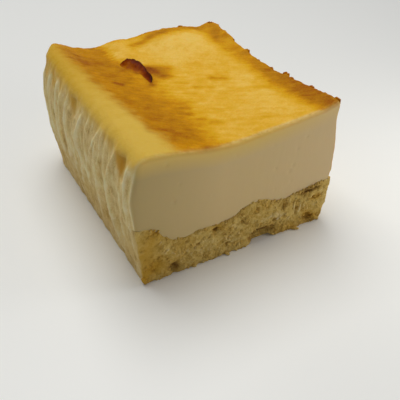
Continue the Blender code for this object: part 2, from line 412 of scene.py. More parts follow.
def round_corner(x: Array, y: Array, corner: tuple[float, float], radius: float) -> tuple[Array, Array]:
    """Moves the points in a square at a corner of the plan so that the square becomes a quarter disc."""
    towards_x = 1 if corner[0] > 0 else -1
    towards_y = 1 if corner[1] > 0 else -1
    centre_x = corner[0] - towards_x * radius
    centre_y = corner[1] - towards_y * radius
    a = np.clip((x - centre_x) * towards_x / radius, 0, 1)
    b = np.clip((y - centre_y) * towards_y / radius, 0, 1)
    inside = (a > 0) & (b > 0)
    round_x = centre_x + towards_x * radius * a * np.sqrt(1 - b * b / 2)
    round_y = centre_y + towards_y * radius * b * np.sqrt(1 - a * a / 2)
    return np.where(inside, round_x, x), np.where(inside, round_y, y)


# The print of the creased lining


@dataclass(frozen=True)
class Fold:
    """A crease of the paper, printed as a narrow rib, or as a valley if its height is below zero.

    Its path is given as places along the side and heights above the underside.
    """

    path: Points
    height: float
    half_width: float
    taper: float = 0.16

    def at(self, along: Array, z: Array) -> Array:
        """How far the fold stands out at each point."""
        distance, share = distance_to_path(along, z, self.path)
        fade = ease(share / self.taper) * ease((1 - share) / self.taper)
        return self.height * fade * bell(distance, self.half_width)


@dataclass(frozen=True)
class Lining:
    """One side's print of the paper: wide pleats, narrow folds and the slack crumple between them."""

    pleats: Sequence[Ridge]
    folds: Sequence[Fold]
    seed_shift: float
    pleat_share: float = 0.55
    bow: float = 4.5
    at_top: float = 0.35
    at_foot: float = 0.20
    top_zone: Range = (40, 49)
    foot_zone: float = 14
    cells: Sequence[Triple] = ((6.5, 1, 17), (2.6, 1, 8), (0.8, 1, 2.6))
    height: float = 50

    def relief(self, along: Array, z: Array) -> tuple[Array, Array]:
        """Works out the print.

        Args:
            along: Places along the side.
            z: Heights.

        Returns:
            How far the side stands out, and how much of that is a rib's crest, from about -1 to 1.
        """
        bow = self.bow * np.sin(np.pi * np.clip(z / self.height, 0, 1))
        towards_top = between(z, *self.top_zone)
        from_foot = self.at_foot + (1 - self.at_foot) * ease(z / self.foot_zone)
        strength = (1 + (self.at_top - 1) * towards_top) * from_foot
        pleats = self.pleat_share * strength * sum(pleat.at(along - bow) for pleat in self.pleats)
        low_fade = 0.35 + 0.65 * ease(z / 9)
        folds = low_fade * sum(fold.at(along, z) for fold in self.folds)
        flat = rows(along - 0.6 * bow, 0, z)
        facets, small_facets, grain = (
            smooth_noise(flat, cell, self.seed_shift + shift) for cell, shift in zip(self.cells, (0, 3, 7))
        )
        facets, small_facets = 0.5 - 2.2 * np.abs(facets), 0.5 - 2.2 * np.abs(small_facets)
        low = 0.45 + 0.55 * from_foot
        crumple = low * (0.34 * facets + 0.17 * small_facets) + 0.05 * grain
        crest = np.clip(folds / 0.7, -1, 1) + 0.45 * facets + 0.35 * small_facets
        return pleats + folds + crumple, crest


LEFT_PLEATS = each(Ridge, (
    (2.5, 1, 2.6), (12, 1.5, 2.6), (23.5, 1.3, 2.4), (33, 0.9, 2.2), (41.5, 1.4, 2.6), (51, 0.9, 2.2), (59, 1.3, 2.6),
    (69, 1, 2.4), (78, 1.4, 2.8),
))

LEFT_FOLDS = each(Fold, (
    (((3.4, 47), (4.2, 40), (3.6, 31), (2.2, 20)), 0.75, 1),
    (((12.6, 49), (14.4, 40), (17, 31), (16.6, 22), (13.6, 12), (12.4, 3)), 1.15, 0.85),
    (((8.6, 34), (9.8, 25), (8.4, 14), (7.6, 4)), 0.55, 0.8), (((20.4, 24), (21.2, 15), (20, 4)), 0.5, 0.8),
    (((24.2, 48.5), (23.2, 40), (26.4, 31), (28.4, 16)), 1.05, 0.8), (((26.2, 46.5), (29.6, 40), (34, 33)), 0.75, 0.75),
    (((31.2, 25), (32.6, 15), (31.6, 3)), 0.6, 0.8),
    (((35.2, 47), (37.2, 40), (36.6, 30), (38.2, 20), (37, 8)), 0.65, 0.85),
    (((40.8, 46), (41.8, 41), (45, 33), (42.2, 26), (46.4, 14), (47, 5)), 1, 0.9),
    (((52, 27), (53.2, 16), (52, 3)), 0.55, 0.8),
    (((54.6, 48.5), (56.4, 40), (58.2, 30), (59, 17), (58, 6)), 0.95, 0.85),
    (((61, 46), (61.8, 36), (64.4, 24), (65, 8)), 0.8, 0.8), (((66.4, 48), (67.2, 38), (70, 28), (71, 12)), 0.85, 0.9),
    (((74.2, 48.5), (76, 38), (78.2, 26), (78, 8)), 0.95, 0.95),
    (((82.4, 47), (83.4, 36), (85, 22), (84.2, 6)), 0.8, 0.9), (((9, 46.5), (8.2, 43.5), (6.6, 38.5)), -0.9, 2),
    (((50.4, 46.5), (50, 43.5), (49, 39)), -0.7, 2.2),
))

PLEAT_SPACING = 9.8


def uneven_pleats(length: float) -> tuple[Ridge, ...]:
    """Pleats for a whole side, unevenly spaced and of uneven height."""
    pleats = []
    for k in range(int(length / PLEAT_SPACING)):
        place = PLEAT_SPACING * (k + 0.5 + 0.28 * math.sin(2.4 * k))
        pleats.append(Ridge(place, 1.2 + 0.4 * math.sin(1.7 * k + 0.8), 2.6))
    return tuple(pleats)


@dataclass(frozen=True)
class FoldScatter:
    """Folds strewn along a side, each wandering up it in its own way."""

    spacing: float
    height: Range
    half_width: Range
    foot: Range
    crown: Range
    sway: float
    bends: int = 5

    def make(self, length: float, seed: int) -> tuple[Fold, ...]:
        """Scatters the folds over a side of this length."""
        random = np.random.default_rng(seed)
        folds = []
        for start in np.arange(self.spacing / 2, length, self.spacing):
            place = start + random.uniform(-0.4, 0.4) * self.spacing
            heights = np.linspace(random.uniform(*self.foot), random.uniform(*self.crown), self.bends)
            places = place + np.cumsum(random.uniform(-self.sway, self.sway, self.bends))
            path = tuple(zip(places.tolist(), heights.tolist()))
            folds.append(Fold(path, random.uniform(*self.height), random.uniform(*self.half_width)))
        return tuple(folds)


TALL_FOLDS = FoldScatter(8, (0.6, 1.2), (0.8, 1.1), (2, 8), (44, 49), 1.7)
FINE_FOLDS = FoldScatter(2.7, (0.14, 0.42), (0.35, 0.6), (0, 22), (26, 49), 1.2)


# Meshes


def new_object(name: str, data: bpy.types.ID) -> Object:
    """Adds an object to the scene."""
    added = bpy.data.objects.new(name, data)
    bpy.context.scene.collection.objects.link(added)
    return added


def deselect_everything() -> None:
    """Leaves object mode with nothing selected, so that an operator acts only on what is made next."""
    if bpy.context.mode != "OBJECT":
        bpy.ops.object.mode_set(mode="OBJECT")
    bpy.ops.object.select_all(action="DESELECT")


@contextmanager
def editing(piece: Object) -> Iterator[None]:
    """Edit mode on one piece alone, and object mode again after it."""
    deselect_everything()
    piece.select_set(True)
    bpy.context.view_layer.objects.active = piece
    bpy.ops.object.mode_set(mode="EDIT")
    yield
    bpy.ops.object.mode_set(mode="OBJECT")


def select_only(mesh: Mesh, kind: str, chosen: Array) -> None:
    """Selects the chosen vertices, edges or polygons of a mesh, and nothing else."""
    for name in ("vertices", "edges", "polygons"):
        elements = getattr(mesh, name)
        elements.foreach_set("select", chosen if name == kind else np.zeros(len(elements), bool))


def crowded_places(length: float, first_radius: float, last_radius: float, cell: float) -> Array:
    """Where the lines of a grid lie: close together over two rounded edges and a cell apart between them."""
    quarter = 1 - np.cos(np.linspace(0, np.pi / 2, 5))
    first, last = first_radius * quarter, length - last_radius * quarter[::-1]
    count = 2 * max(1, round((last[0] - first[-1]) / cell / 2))
    return np.concatenate((first[:-1], np.linspace(first[-1], last[0], count + 1), last[1:]))


def gridded_box(name: str, counts: Sequence[int]) -> Object:
    """Makes a closed box of size 1 from a cube, its sides subdivided into so many cells each way.

    Args:
        name: The object's name.
        counts: Cells along X, Y and Z. A count above MOST_CUTS must be even and no more than twice that.

    Returns:
        The box.
    """
    deselect_everything()
    bpy.ops.mesh.primitive_cube_add(size=1, location=(0.5, 0.5, 0.5))
    box = bpy.context.object
    box.name = name
    bpy.ops.object.transform_apply(location=True, rotation=True, scale=True)
    bpy.context.tool_settings.mesh_select_mode = (False, True, False)
    for axis, count in enumerate(counts):
        for parts in (count,) if count <= MOST_CUTS else (count // 2, 2):
            if parts > 1:
                ends = vertex_array(box.data)[corner_numbers(box.data.edges, 2)]
                select_only(box.data, "edges", np.abs(ends[:, 1] - ends[:, 0]).argmax(axis=1) == axis)
                with editing(box):
                    bpy.ops.mesh.subdivide(number_cuts=parts - 1)
    return box


def vertex_array(mesh: Mesh) -> Array:
    """A mesh's vertices as rows of X, Y and Z."""
    flat = np.empty(len(mesh.vertices) * 3)
    mesh.vertices.foreach_get("co", flat)
    return flat.reshape(-1, 3)


def corner_numbers(elements: bpy.types.bpy_prop_collection, corners: int) -> Array:
    """The numbers of each edge's two vertices, or of each face's four."""
    numbers = np.empty(len(elements) * corners, np.int32)
    elements.foreach_get("vertices", numbers)
    return numbers.reshape(-1, corners)


def place_vertices(mesh: Mesh, x: Array, y: Array, z: Array) -> None:
    """Moves a mesh's vertices to places given in the design's millimetres."""
    placed = rows(x - DESIGN_CENTRE[0], y - DESIGN_CENTRE[1], z) * MM
    mesh.vertices.foreach_set("co", placed.ravel())
    mesh.update()


def mark(mesh: Mesh, **levels: Array) -> None:
    """Stores a number for each vertex under each name, for a material to read."""
    for name, values in levels.items():
        mesh.attributes.new(name, "FLOAT", "POINT").data.foreach_set("value", np.asarray(values, np.float32))


def thin_out(piece: Object, hidden: Array) -> None:
    """Thins a stretch of faces that never shows, with its rim and the rest left as they are."""
    bpy.context.tool_settings.mesh_select_mode = (False, False, True)
    select_only(piece.data, "polygons", hidden)
    with editing(piece):
        bpy.ops.mesh.select_less()
        bpy.ops.mesh.decimate(ratio=HIDDEN_SHARE)


def recalculate_outside(piece: Object) -> None:
    """Turns all of a closed piece's faces outwards."""
    with editing(piece):
        bpy.ops.mesh.select_all(action="SELECT")
        bpy.ops.mesh.normals_make_consistent(inside=False)


# The browned top


@dataclass(frozen=True)
class Stain:
    """A soft patch on the top or on the cut: its path, half width and how much it adds in its middle."""

    path: Points
    half_width: float
    strength: float

    def at(self, x: Array, y: Array) -> Array:
        """How much the stain adds at each point."""
        if len(self.path) == 1:
            distance = np.hypot(x - self.path[0][0], y - self.path[0][1])
        else:
            distance, _ = distance_to_path(x, y, self.path)
        return self.strength * bell(distance, self.half_width)


@dataclass(frozen=True)
class Browning:
    """How the oven browned the top: 0 is pale cheese, 0.3 golden, 0.6 brown and 1 scorched."""

    ground: float = 0.33
    width: float = 75
    shoulder_softness: Range = (4, -2.8)
    shoulder_edge: Points = ((0, 12), (5, 11.4), (29, 9.4), (46, 7.4), (60, 6.4), (75, 5), (92, 4))
    band_browning: Points = ((0, 0.56), (10, 0.66), (35, 0.69), (50, 0.66), (62, 0.68), (80, 0.67), (92, 0.60))
    band_end: Points = ((0, 27), (8, 29), (30, 30), (46, 28), (60, 27), (72, 25), (82, 24), (92, 22))
    band_softness: Points = ((0, 9), (30, 11), (46, 10), (60, 7), (74, 4), (92, 3.5))
    right_browning: Points = (
        (0, 0.62), (6, 0.72), (22, 0.73), (42, 0.66), (56, 0.60), (64, 0.56), (76, 0.60), (88, 0.55)
    )
    right_width: Points = ((0, 7.4), (8, 9.8), (25, 10.4), (45, 8), (60, 8.2), (70, 9.5), (88, 10))
    streak_turn: float = math.radians(-31.8)
    streaks: Waves = ((0.09, (9, 1.5, 1), 1.7), (0.05, (3.6, 0.8, 1), 5.9))
    clouds: Waves = ((0.07, 5, 11), (0.04, 1.8, 4.4))
    strays: Waves = ((0.8, (4, 1.6, 1), 8.3), (0.7, (1.8, 0.7, 1), 2.3))
    limits: Range = (0.15, 0.86)
    stains: Sequence[Stain] = each(Stain, (
        (((22, 0.5), (31, 0.8)), 1.6, 0.16), (((66, 1.4), (72, 1.6)), 1.9, 0.12),
        (((12, 16), (18, 10), (24, 7)), 3.2, 0.06), (((10.5, 79), (12.5, 71)), 2.4, 0.07), (((18, 72),), 2.8, 0.05),
        (((15.4, 53), (17.4, 51.2)), 1.1, 0.20), (((13.2, 60.4), (15, 58.8)), 0.9, 0.10),
        (((31, 59), (33.5, 56), (34.5, 53)), 3.5, 0.43), (((32, 61), (38.6, 57.6)), 2.6, 0.26),
        (((28.6, 54), (28, 48)), 1.8, 0.26), (((25, 64), (27, 60)), 3, 0.20),
        (((35, 80.5), (44, 82.5), (52, 83.5), (66, 83)), 2.6, 0.28), (((28, 88), (40, 87), (62, 85.5)), 1.6, 0.16),
        (((44, 83), (51, 84)), 2, 0.10), (((70.5, 75.5), (68, 69)), 2.4, 0.10), (((50.2, 43.6), (54.4, 41)), 1.7, 0.17),
        (((54, 45), (56.4, 42.6)), 1.4, 0.10), (((36.5, 46), (39.5, 43.8)), 1.3, 0.13),
        (((41, 40), (46, 37)), 1.2, 0.12), (((35, 37), (38, 35.2)), 1, 0.09), (((49, 57.6), (52, 55.4)), 1.6, 0.10),
        (((60.6, 28.4), (63, 26.4)), 1.7, 0.15), (((62, 32),), 1.6, 0.08), (((33, 14.6), (35.4, 12.8)), 1.1, 0.14),
        (((27, 23.8), (29, 22)), 1.3, 0.14), (((28.8, 27.4), (30.6, 25.6)), 1, 0.12),
        (((32, 30.6), (35, 28.8)), 0.9, 0.10), (((29.6, 18.4), (31.6, 17)), 0.9, 0.10), (((38, 22), (41, 20)), 1, 0.06),
        (((46, 9), (49.6, 7.6)), 1.3, 0.09), (((42, 3.4), (47, 2)), 1.2, 0.06), (((46, 66), (60, 70)), 8.5, -0.10),
        (((40, 76), (58, 77)), 4.5, -0.06), (((56, 10), (60, 36)), 6.5, -0.05), (((32, 82), (27, 76)), 3, -0.05),
    ))

    def at(self, x: Array, y: Array) -> Array:
        """Works out the browning.

        Args:
            x: X of points on the top.
            y: Their Y.

        Returns:
            The browning at each point.
        """
        wander = self.wander(x, y)
        outward = curve_through(self.band_end, y) - x + 2.6 * wander
        fall = between(outward / curve_through(self.band_softness, y), -0.7, 0.9)
        level = self.ground + (curve_through(self.band_browning, y) - self.ground) * fall
        reach = curve_through(self.right_width, y)
        right = between((self.width - x + 0.9 * wander) / reach, 1.35, 0.45)
        level = level + (curve_through(self.right_browning, y) - self.ground) * right
        level = level + sum(stain.at(x, y) for stain in self.stains)
        mottle = layered(smooth_noise, self.slanted(x, y), self.streaks)
        mottle = mottle + layered(smooth_noise, rows(x, y, 0), self.clouds)
        calm = 0.3 + 0.7 * between(level, 0.15, 0.5) - 0.25 * between(level, 0.5, 0.65)
        return np.clip(level + calm * mottle, *self.limits)

    def slanted(self, x: Array, y: Array) -> Array:
        """The points turned so that their X runs along the wrinkles."""
        turn = np.array(Matrix.Rotation(-self.streak_turn, 3, "Z"))
        return rows(x, y, 0) @ turn.T

    def wander(self, x: Array, y: Array) -> Array:
        """How far the edges of the browning stray, in millimetres."""
        return smooth_noise(rows(x, y, 0), 9, 3.1) + layered(smooth_noise, self.slanted(x, y), self.strays)

    def lined(self, x: Array, y: Array) -> Array:
        """Share of the left shoulder that takes a duller yellow, partly its own tone and partly painted shade where it
        faces away from the light.
        """
        inward = x - curve_through(self.shoulder_edge, y) + 1.2 * self.wander(x, y)
        inward = inward + 1.2 * smooth_noise(rows(x, y, 0), 4, 6.6)
        return between(inward, *self.shoulder_softness)


@dataclass(frozen=True)
class Furrow:
    """A valley of the lining into which the browned skin runs down: its place, how far down, how strongly."""

    place: float
    half_width: float
    reach: float
    strength: float
    widening: Range = (40, 49)

    def inside(self, along: Array, z: Array) -> Array:
        """Share of the furrow at a place on the side: 1 in its middle and 0 outside. It widens upwards."""
        path = rows(along, self.place, z)
        strayed = along - self.place + 1.1 * smooth_noise(path, (1.8, 5, 2.6), 4.2)
        return bell(strayed, self.half_width * (0.65 + 0.6 * between(z, *self.widening)))


@dataclass(frozen=True)
class PoreScatter:
    """Round pores strewn over a face, with ranges for where they lie both ways, their radii and depths."""

    count: int
    seed: int
    first: Range
    second: Range
    radius: Range
    deep: Range

    def depth(self, x: Array, y: Array) -> Array:
        """How deep the pores are at each point of the face."""
        random, total = np.random.default_rng(self.seed), 0
        for _ in range(self.count):
            px, py, radius, deep = (random.uniform(*r) for r in (self.first, self.second, self.radius, self.deep))
            total = total + deep * bell(np.hypot(x - px, y - py), radius)
        return total


# The pieces


@dataclass(frozen=True)
class Spots:
    """A layer's vertices: places across and along its plain box, X and Y on the plan, and heights."""

    across: Array
    along: Array
    x: Array
    y: Array
    z: Array


@dataclass
class CakePart:
    """What the pieces share: each is modelled, then dressed and tied to the frame."""

    form: CakeForm
    slot: ClassVar[Slot] = Slot.CHEESE

    def model(self) -> Object:
        """Makes the piece, shapes it and marks what its finish needs."""
        raise NotImplementedError

    def build(self, material: Material) -> Object:
        """Models the piece, shades it smooth, dresses it and ties it to the frame."""
        piece = self.model()
        piece.data.materials.clear()
        piece.data.materials.append(material)
        piece.data.shade_smooth()
        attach(piece, ROOT)
        return piece


@dataclass
class Layer(CakePart):
    """What the two layers share: a gridded box that stood against the lining on three sides."""

    linings: dict[Side, Lining]
    cell: float = 0.4
    layer_height: float = 17
    cut_edge: float = 0.4
    seam: float = 0.1

    def box(self, name: str, edges: Sequence[float], row_cell: float) -> tuple[Object, Array, Array, Array]:
        """Makes the layer's plain box, with its grid crowded over the rounded edges.

        Args:
            name: The piece's name.
            edges: Radii of the left, right and back edges.
            row_cell: Size of a cell along Y.

        Returns:
            The box, and each vertex's place across and along it and its share of the layer's height.
        """
        left, right, back = edges
        columns = crowded_places(self.form.width, left, right, self.cell)
        lines = crowded_places(self.form.left_length, self.cut_edge, back, row_cell)
        box = gridded_box(name, (len(columns) - 1, len(lines) - 1, round(self.layer_height / self.cell)))
        unit = vertex_array(box.data)
        across = np.interp(unit[:, 0], np.linspace(0, 1, len(columns)), columns)
        along = np.interp(unit[:, 1], np.linspace(0, 1, len(lines)), lines)
        return box, across, along, unit[:, 2]

    def press(self, spots: Spots, lip: float, inset: Array) -> tuple[Array, Array, Array]:
        """Moves the vertices near a papered side out by its profile and its print.

        Args:
            spots: The vertices.
            lip: How much further the layer stands out on the right.
            inset: How far it draws in, where the two layers meet.

        Returns:
            X and Y after the move, and how much of a rib's crest each vertex is.
        """
        profiles = self.form.profiles(spots.along, spots.z, lip)
        from_sides = self.form.from_sides(spots.across, spots.along)
        moves, crest = {}, 0
        for side, lining in self.linings.items():
            fade = self.form.side_fade(from_sides[side])
            relief, print_crest = lining.relief(spots.across if side is Side.BACK else spots.along, spots.z)
            moves[side] = (profiles[side] + relief - inset) * fade
            crest = crest + print_crest * fade**4
        return spots.x - moves[Side.LEFT] + moves[Side.RIGHT], spots.y + moves[Side.BACK], crest


@dataclass
class CheeseFilling(Layer):
    """The smooth cheese layer: its browned top, its cut face and its three papered sides."""

    browning: Browning = Browning()
    cell: float = 0.48
    layer_height: float = 32
    cut_edge: float = 1.5
    left_cut_corner: float = 1.5
    right_cut_corner: float = 0.6
    tuck: float = 0.7
    seam: float = 0.2
    skin_edge: float = 46.3
    skin_blend: float = 3
    on_ribs: float = 1.8
    side_zone: Range = (3.4, 0.4)
    thick_skin: Range = (1.8, 0.7)
    section_skin: Range = (1.7, 0.8)
    pale_rim: Range = (0.62, 0.42)
    worn_zone: Range = (2.2, 0.5)
    worn_edge: float = 0.45
    rind_line: float = 0.55
    tail: float = 0.55
    tail_length: float = 8
    furrow_browning: float = 0.64
    left_furrows: Sequence[Furrow] = each(Furrow, (
        (9, 3.4, 5.4, 0.85), (18.5, 2.4, 1.2, 0.20), (30.5, 2.2, 1.4, 0.15), (38, 1.8, 1, 0.15), (50.4, 3.6, 4, 0.52),
        (63.8, 1.9, 2, 0.35), (71, 2.4, 4, 0.50), (80, 2.4, 2.4, 0.40),
    ))
    other_furrows: Sequence[Furrow] = each(Furrow, (
        (9, 2.4, 2.2, 0.5), (21, 2.8, 4.5, 0.6), (34, 2, 1.6, 0.45), (45, 2.6, 3.4, 0.55), (58, 2.2, 2, 0.5),
        (69, 2.8, 4.8, 0.62), (82, 2, 2.4, 0.5),
    ))
    torn_rim: Waves = ((0.34, 2.8, 15), (0.22, 1.2, 18))
    torn_width: float = 3
    knife_waves: Waves = ((0.10, (16, 1, 9), 3.3), (0.02, (1.6, 1, 5), 8.8))
    skin_waves: Waves = ((0.9, (3, 3, 40), 2.9), (1.5, (1.3, 1.3, 5), 7.7))
    top_pores: PoreScatter = PoreScatter(90, 41, (12, 73), (1, 84), (0.45, 0.8), (0.06, 0.2))
    face_pores: PoreScatter = PoreScatter(16, 42, (2, 74), (18, 46), (0.4, 0.65), (0.1, 0.28))

    def model(self) -> Object:
        """Makes the layer, thinned out underneath, where it never shows."""
        form = self.form
        edges = (form.left_shoulder, form.right_shoulder, form.back_shoulder)
        piece, across, along, share = self.box("cheese_body", edges, self.cell)
        x, y = form.plan(across, along, self.left_cut_corner, self.right_cut_corner)
        top = form.top(x, y)
        high = top - form.edge_drop(across, along, self.cut_edge) + self.top_relief(x, y, across, along)
        low = form.boundary(x, y) - self.tuck
        z = low + (high - low) * share
        spots = Spots(across, along, x, y, z)
        moved_x, moved_y, crest = self.press(spots, 0, self.seam * between(z - low, 1.2, 0.2))
        on_cut = between(along, 0.35, 0) * between(share, 1, 0.985)
        place_vertices(piece.data, moved_x, moved_y + self.knife_marks(moved_x, z) * on_cut, z)
        # The front of the left side is marked as a full crest, which colours it pale: partly a pale rib, partly a
        # painted highlight on the rounded corner.
        corner_rib_highlight = between(along, 2.4, 0.6) * between(across, 3, 0.5)
        mark(piece.data, crest=np.maximum(crest, corner_rib_highlight), cut=between(along, 0.9, 0.15), depth=top - z)
        mark(piece.data, **self.skin(spots, top - z, crest))
        thin_out(piece, (share[corner_numbers(piece.data.polygons, 4)] < TOUCH).all(axis=1))
        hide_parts("cheese_filling")
        return piece

    def top_relief(self, x: Array, y: Array, across: Array, along: Array) -> Array:
        """Small ups and downs of the top: slack waves, aslant wrinkles, pores and a torn rim."""
        flat, slanted = rows(x, y, 0), self.browning.slanted(x, y)
        folds = 0.055 * (0.5 - 2 * np.abs(smooth_noise(slanted, (6.5, 1.6, 1), 6.1)))
        wrinkles = folds + 0.03 * smooth_noise(slanted, (2.4, 0.9, 1), 9.7)
        relief = 0.17 * smooth_noise(flat, 11, 2.2) + (0.4 + 0.6 * between(x, 9, 14)) * wrinkles
        from_sides = self.form.from_sides(across, along)
        at_right, at_back = (ease(1 - from_sides[side] / self.torn_width) for side in (Side.RIGHT, Side.BACK))
        relief = relief + np.maximum(at_right, at_back) * layered(smooth_noise, flat, self.torn_rim)
        return relief - self.top_pores.depth(x, y)

    def knife_marks(self, x: Array, z: Array) -> Array:
        """How far the cut face stands back: faint waves where the knife dragged, and a few pores."""
        return layered(smooth_noise, rows(x, 0, z), self.knife_waves) + self.face_pores.depth(x, z)

    def skin(self, spots: Spots, depth: Array, crest: Array) -> dict[str, Array]:
        """Works out where the browned skin lies.

        Args:
            spots: The vertices, before the sides' relief.
            depth: How far each lies below the top.
            crest: How much of a rib's crest it is.

        Returns:
            Skin, from 0 to 1, its browning, and the share of the shoulder that is duller, partly painted shade.
        """
        across, along, z = spots.across, spots.along, spots.z
        browning, lined = self.browning.at(spots.x, spots.y), self.browning.lined(spots.x, spots.y)
        edge = self.skin_edge + self.on_ribs * np.clip(crest, -0.8, 1)
        edge = edge + layered(smooth_noise, rows(along, across, z), self.skin_waves)
        stained = np.zeros_like(z)
        from_sides = self.form.from_sides(across, along)
        for side, distance in from_sides.items():
            place = across if side is Side.BACK else along
            for furrow in self.left_furrows if side is Side.LEFT else self.other_furrows:
                inside = furrow.inside(place, z) * between(distance, *self.side_zone)
                edge = edge - furrow.reach * inside
                far_side = 0.15 + 0.85 * between(place - furrow.place, -furrow.half_width, 0.6 * furrow.half_width)
                browned = furrow.strength * inside * far_side * between(depth, 1.2, 0.5 * furrow.reach + 2.8)
                browning = browning + (self.furrow_browning - browning) * browned
                lined = lined * (1 - browned)
                stained = np.maximum(stained, furrow.strength * inside)
        soft = self.skin_blend + 3 * stained
        skin = between(z, edge - soft, edge + 0.5 * soft)
        skin = np.maximum(skin, self.tail * stained * between(z, edge - self.tail_length, edge))
        skin = np.maximum(skin, between(depth, *self.thick_skin))
        pale = between(browning, *self.pale_rim)
        on_cut = between(along, 0.8 + 0.9 * pale, 0.15 + 0.35 * pale)
        rind = self.rind_line * between(from_sides[Side.RIGHT], 0.8, 0.05)
        section = np.maximum(0.3 * between(depth, *self.section_skin), rind)
        skin = skin * (1 - self.worn_edge * between(along, *self.worn_zone) * (0.25 + 0.75 * pale))
        return {"skin": skin * (1 - on_cut) + section * on_cut, "browning": browning, "lined": lined}


@dataclass(frozen=True)
class Pit:
    """A hole in the cut face of the base: its X and Z, half width, half height and depth."""

    x: float
    z: float
    half_width: float
    half_height: float
    depth: float

    def at(self, x: Array, z: Array) -> Array:
        """How deep the hole is at each point of the face."""
        distance = np.hypot((x - self.x) / self.half_width, (z - self.z) / self.half_height)
        return self.depth * (1 - between(distance, 0.55, 1.25))


@dataclass
class BiscuitBase(Layer):
    """The layer of pressed biscuit: rough and pitted at the cut, pressed smooth against the lining."""

    slot: ClassVar[Slot] = Slot.BISCUIT
    cut_corner: float = 0.6
    stands_proud: float = 0.25
    flush: float = 0.06
    overlap: float = 0.5
    top_lumps: Waves = ((0.55, 1.9, 6.6), (0.35, 0.9, 1.1))
    face_grains: Waves = ((0.34, 3.3, 2), (0.24, 1.5, 5), (0.10, 0.8, 9))
    pressed_grains: Waves = ((0.11, 1.4, 5), (0.09, 0.75, 9))
    pits: Sequence[Pit] = each(Pit, (
        (27.6, 13.3, 1.2, 0.9, 1.5), (11.2, 2.2, 1.8, 2.2, 1.8), (48, 3, 6.2, 2.9, 2.3), (52.9, 7.8, 0.9, 0.7, 1.4),
        (67.2, 15.8, 2, 0.8, 1.8), (71, 16.2, 1.7, 0.7, 1.9), (70.6, 12.3, 1.7, 0.9, 2), (69, 3.4, 2.6, 1.6, 1.6),
        (56.6, 12.6, 0.6, 1.6, 1.2), (62.8, 9, 0.6, 2.8, 1.4), (20.7, 9.6, 1, 0.6, 0.8), (3.8, 4.6, 1.2, 0.9, 0.8),
        (38.5, 12.8, 0.6, 1.6, 1), (44.5, 15.4, 0.7, 1.4, 1.1), (33, 4.4, 1.1, 0.6, 0.8), (16, 12.6, 0.7, 0.6, 0.8),
    ))
    # Paler flaked biscuit above zero; below zero, painted shade in the cut's pits and hollows.
    tones_and_pit_shade: Sequence[Stain] = each(Stain, (
        (((45.5, 11), (50, 9.6), (54, 9)), 2.6, 0.7), (((58, 9.4), (62, 8)), 2, 0.45),
        (((64.8, 4), (64.6, 12)), 0.9, 0.6), (((66.5, 14.2), (71, 14)), 0.9, 0.7), (((22, 9), (34, 7)), 4, 0.35),
        (((43.6, 4.4), (48, 5), (52, 5.4)), 1.9, -1.8), (((10, 3.6), (12, 3)), 1.5, -1.7), (((52.4, 8.2),), 0.9, -1.4),
        (((65.6, 16.4), (72, 16.4)), 1.3, -1.6), (((70, 12), (72.6, 11.4)), 0.9, -1.3), (((27.6, 13.5),), 1.1, -1.5),
        (((20, 9.8), (21.4, 8.8)), 0.7, -0.8), (((67, 4.4), (71, 3.6)), 1.6, -0.9),
        (((38.4, 12.4), (41.6, 10)), 0.8, -0.7), (((56.6, 12), (57.2, 10.4)), 0.8, -0.8),
    ))
    # Places where butter soaked in and turned the crumb ochre.
    butter: Sequence[Stain] = each(Stain, (
        (((-2, 1), (1, 5), (4, 6)), 4.2, 1), (((0, 13), (4, 20)), 4, 0.75), (((27.4, 14), (29, 14.4)), 1.5, 0.6),
        (((67, 5), (72, 3.6)), 2.4, 0.6), (((70, 12), (73, 11.4)), 1.6, 0.6), (((44, 16), (50, 17)), 2.4, 0.4),
        (((56, 2), (62, 1.4)), 1.6, 0.5), (((12, 8), (16, 13)), 3, 0.3),
    ))

    def model(self) -> Object:
        """Makes the layer, thinned out underneath and under the cheese, where it never shows."""
        form = self.form
        piece, across, along, share = self.box("biscuit_body", (self.cut_edge,) * 3, self.cell * 1.4)
        x, y = form.plan(across, along, self.cut_corner, self.cut_corner)
        low, at_cut = form.underside(x, y), between(along, 1.2, 0)
        uneven = layered(smooth_noise, rows(x, y, 0), self.top_lumps)
        high = form.boundary(x, y) + at_cut * (0.15 + uneven) + (1 - at_cut) * self.overlap * between(along, 0.6, 3)
        z = low + (high - low) * share
        spots = Spots(across, along, x, y, z)
        moved_x, moved_y, crest = self.press(spots, form.base_lip, self.seam * between(high - z, 0.7, 0))
        surface = rows(moved_x, moved_y, z)
        pressed = layered(packed_grains, surface, self.pressed_grains)
        pressed = (pressed + 0.14 * smooth_noise(surface, 4, 4) - 0.12) * between(high - z, 0.3, 2.5)
        out, hollow = self.face_relief(moved_x, z)
        out = self.flush + (out - self.flush) * between(high - z, 0, 1.4)
        from_sides = form.from_sides(across, along)
        left, right, back = (form.side_fade(from_sides[side]) ** 4 for side in Side)
        outward = np.where(moved_x < form.width / 2, -1, 1)
        moved_x = moved_x + outward * pressed * np.maximum(left, right)
        place_vertices(piece.data, moved_x, moved_y - out * at_cut + pressed * back, np.maximum(z, 0))
        at_side = between(np.minimum.reduce(list(from_sides.values())), 1, 0)
        tone, butter = self.face_tone(moved_x, z)
        # How deep the cut's crumb lies, which the finish turns into painted shade.
        mark(piece.data, hollow=np.clip(hollow, -0.8, 1.6) * at_cut, crest=crest, pressed=at_side * (1 - at_cut))
        mark(piece.data, tone=tone * at_cut, butter=butter * at_cut)
        levels = share[corner_numbers(piece.data.polygons, 4)]
        thin_out(piece, (levels < TOUCH).all(axis=1) | (levels > 1 - TOUCH).all(axis=1))
        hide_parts("biscuit_base")
        return piece

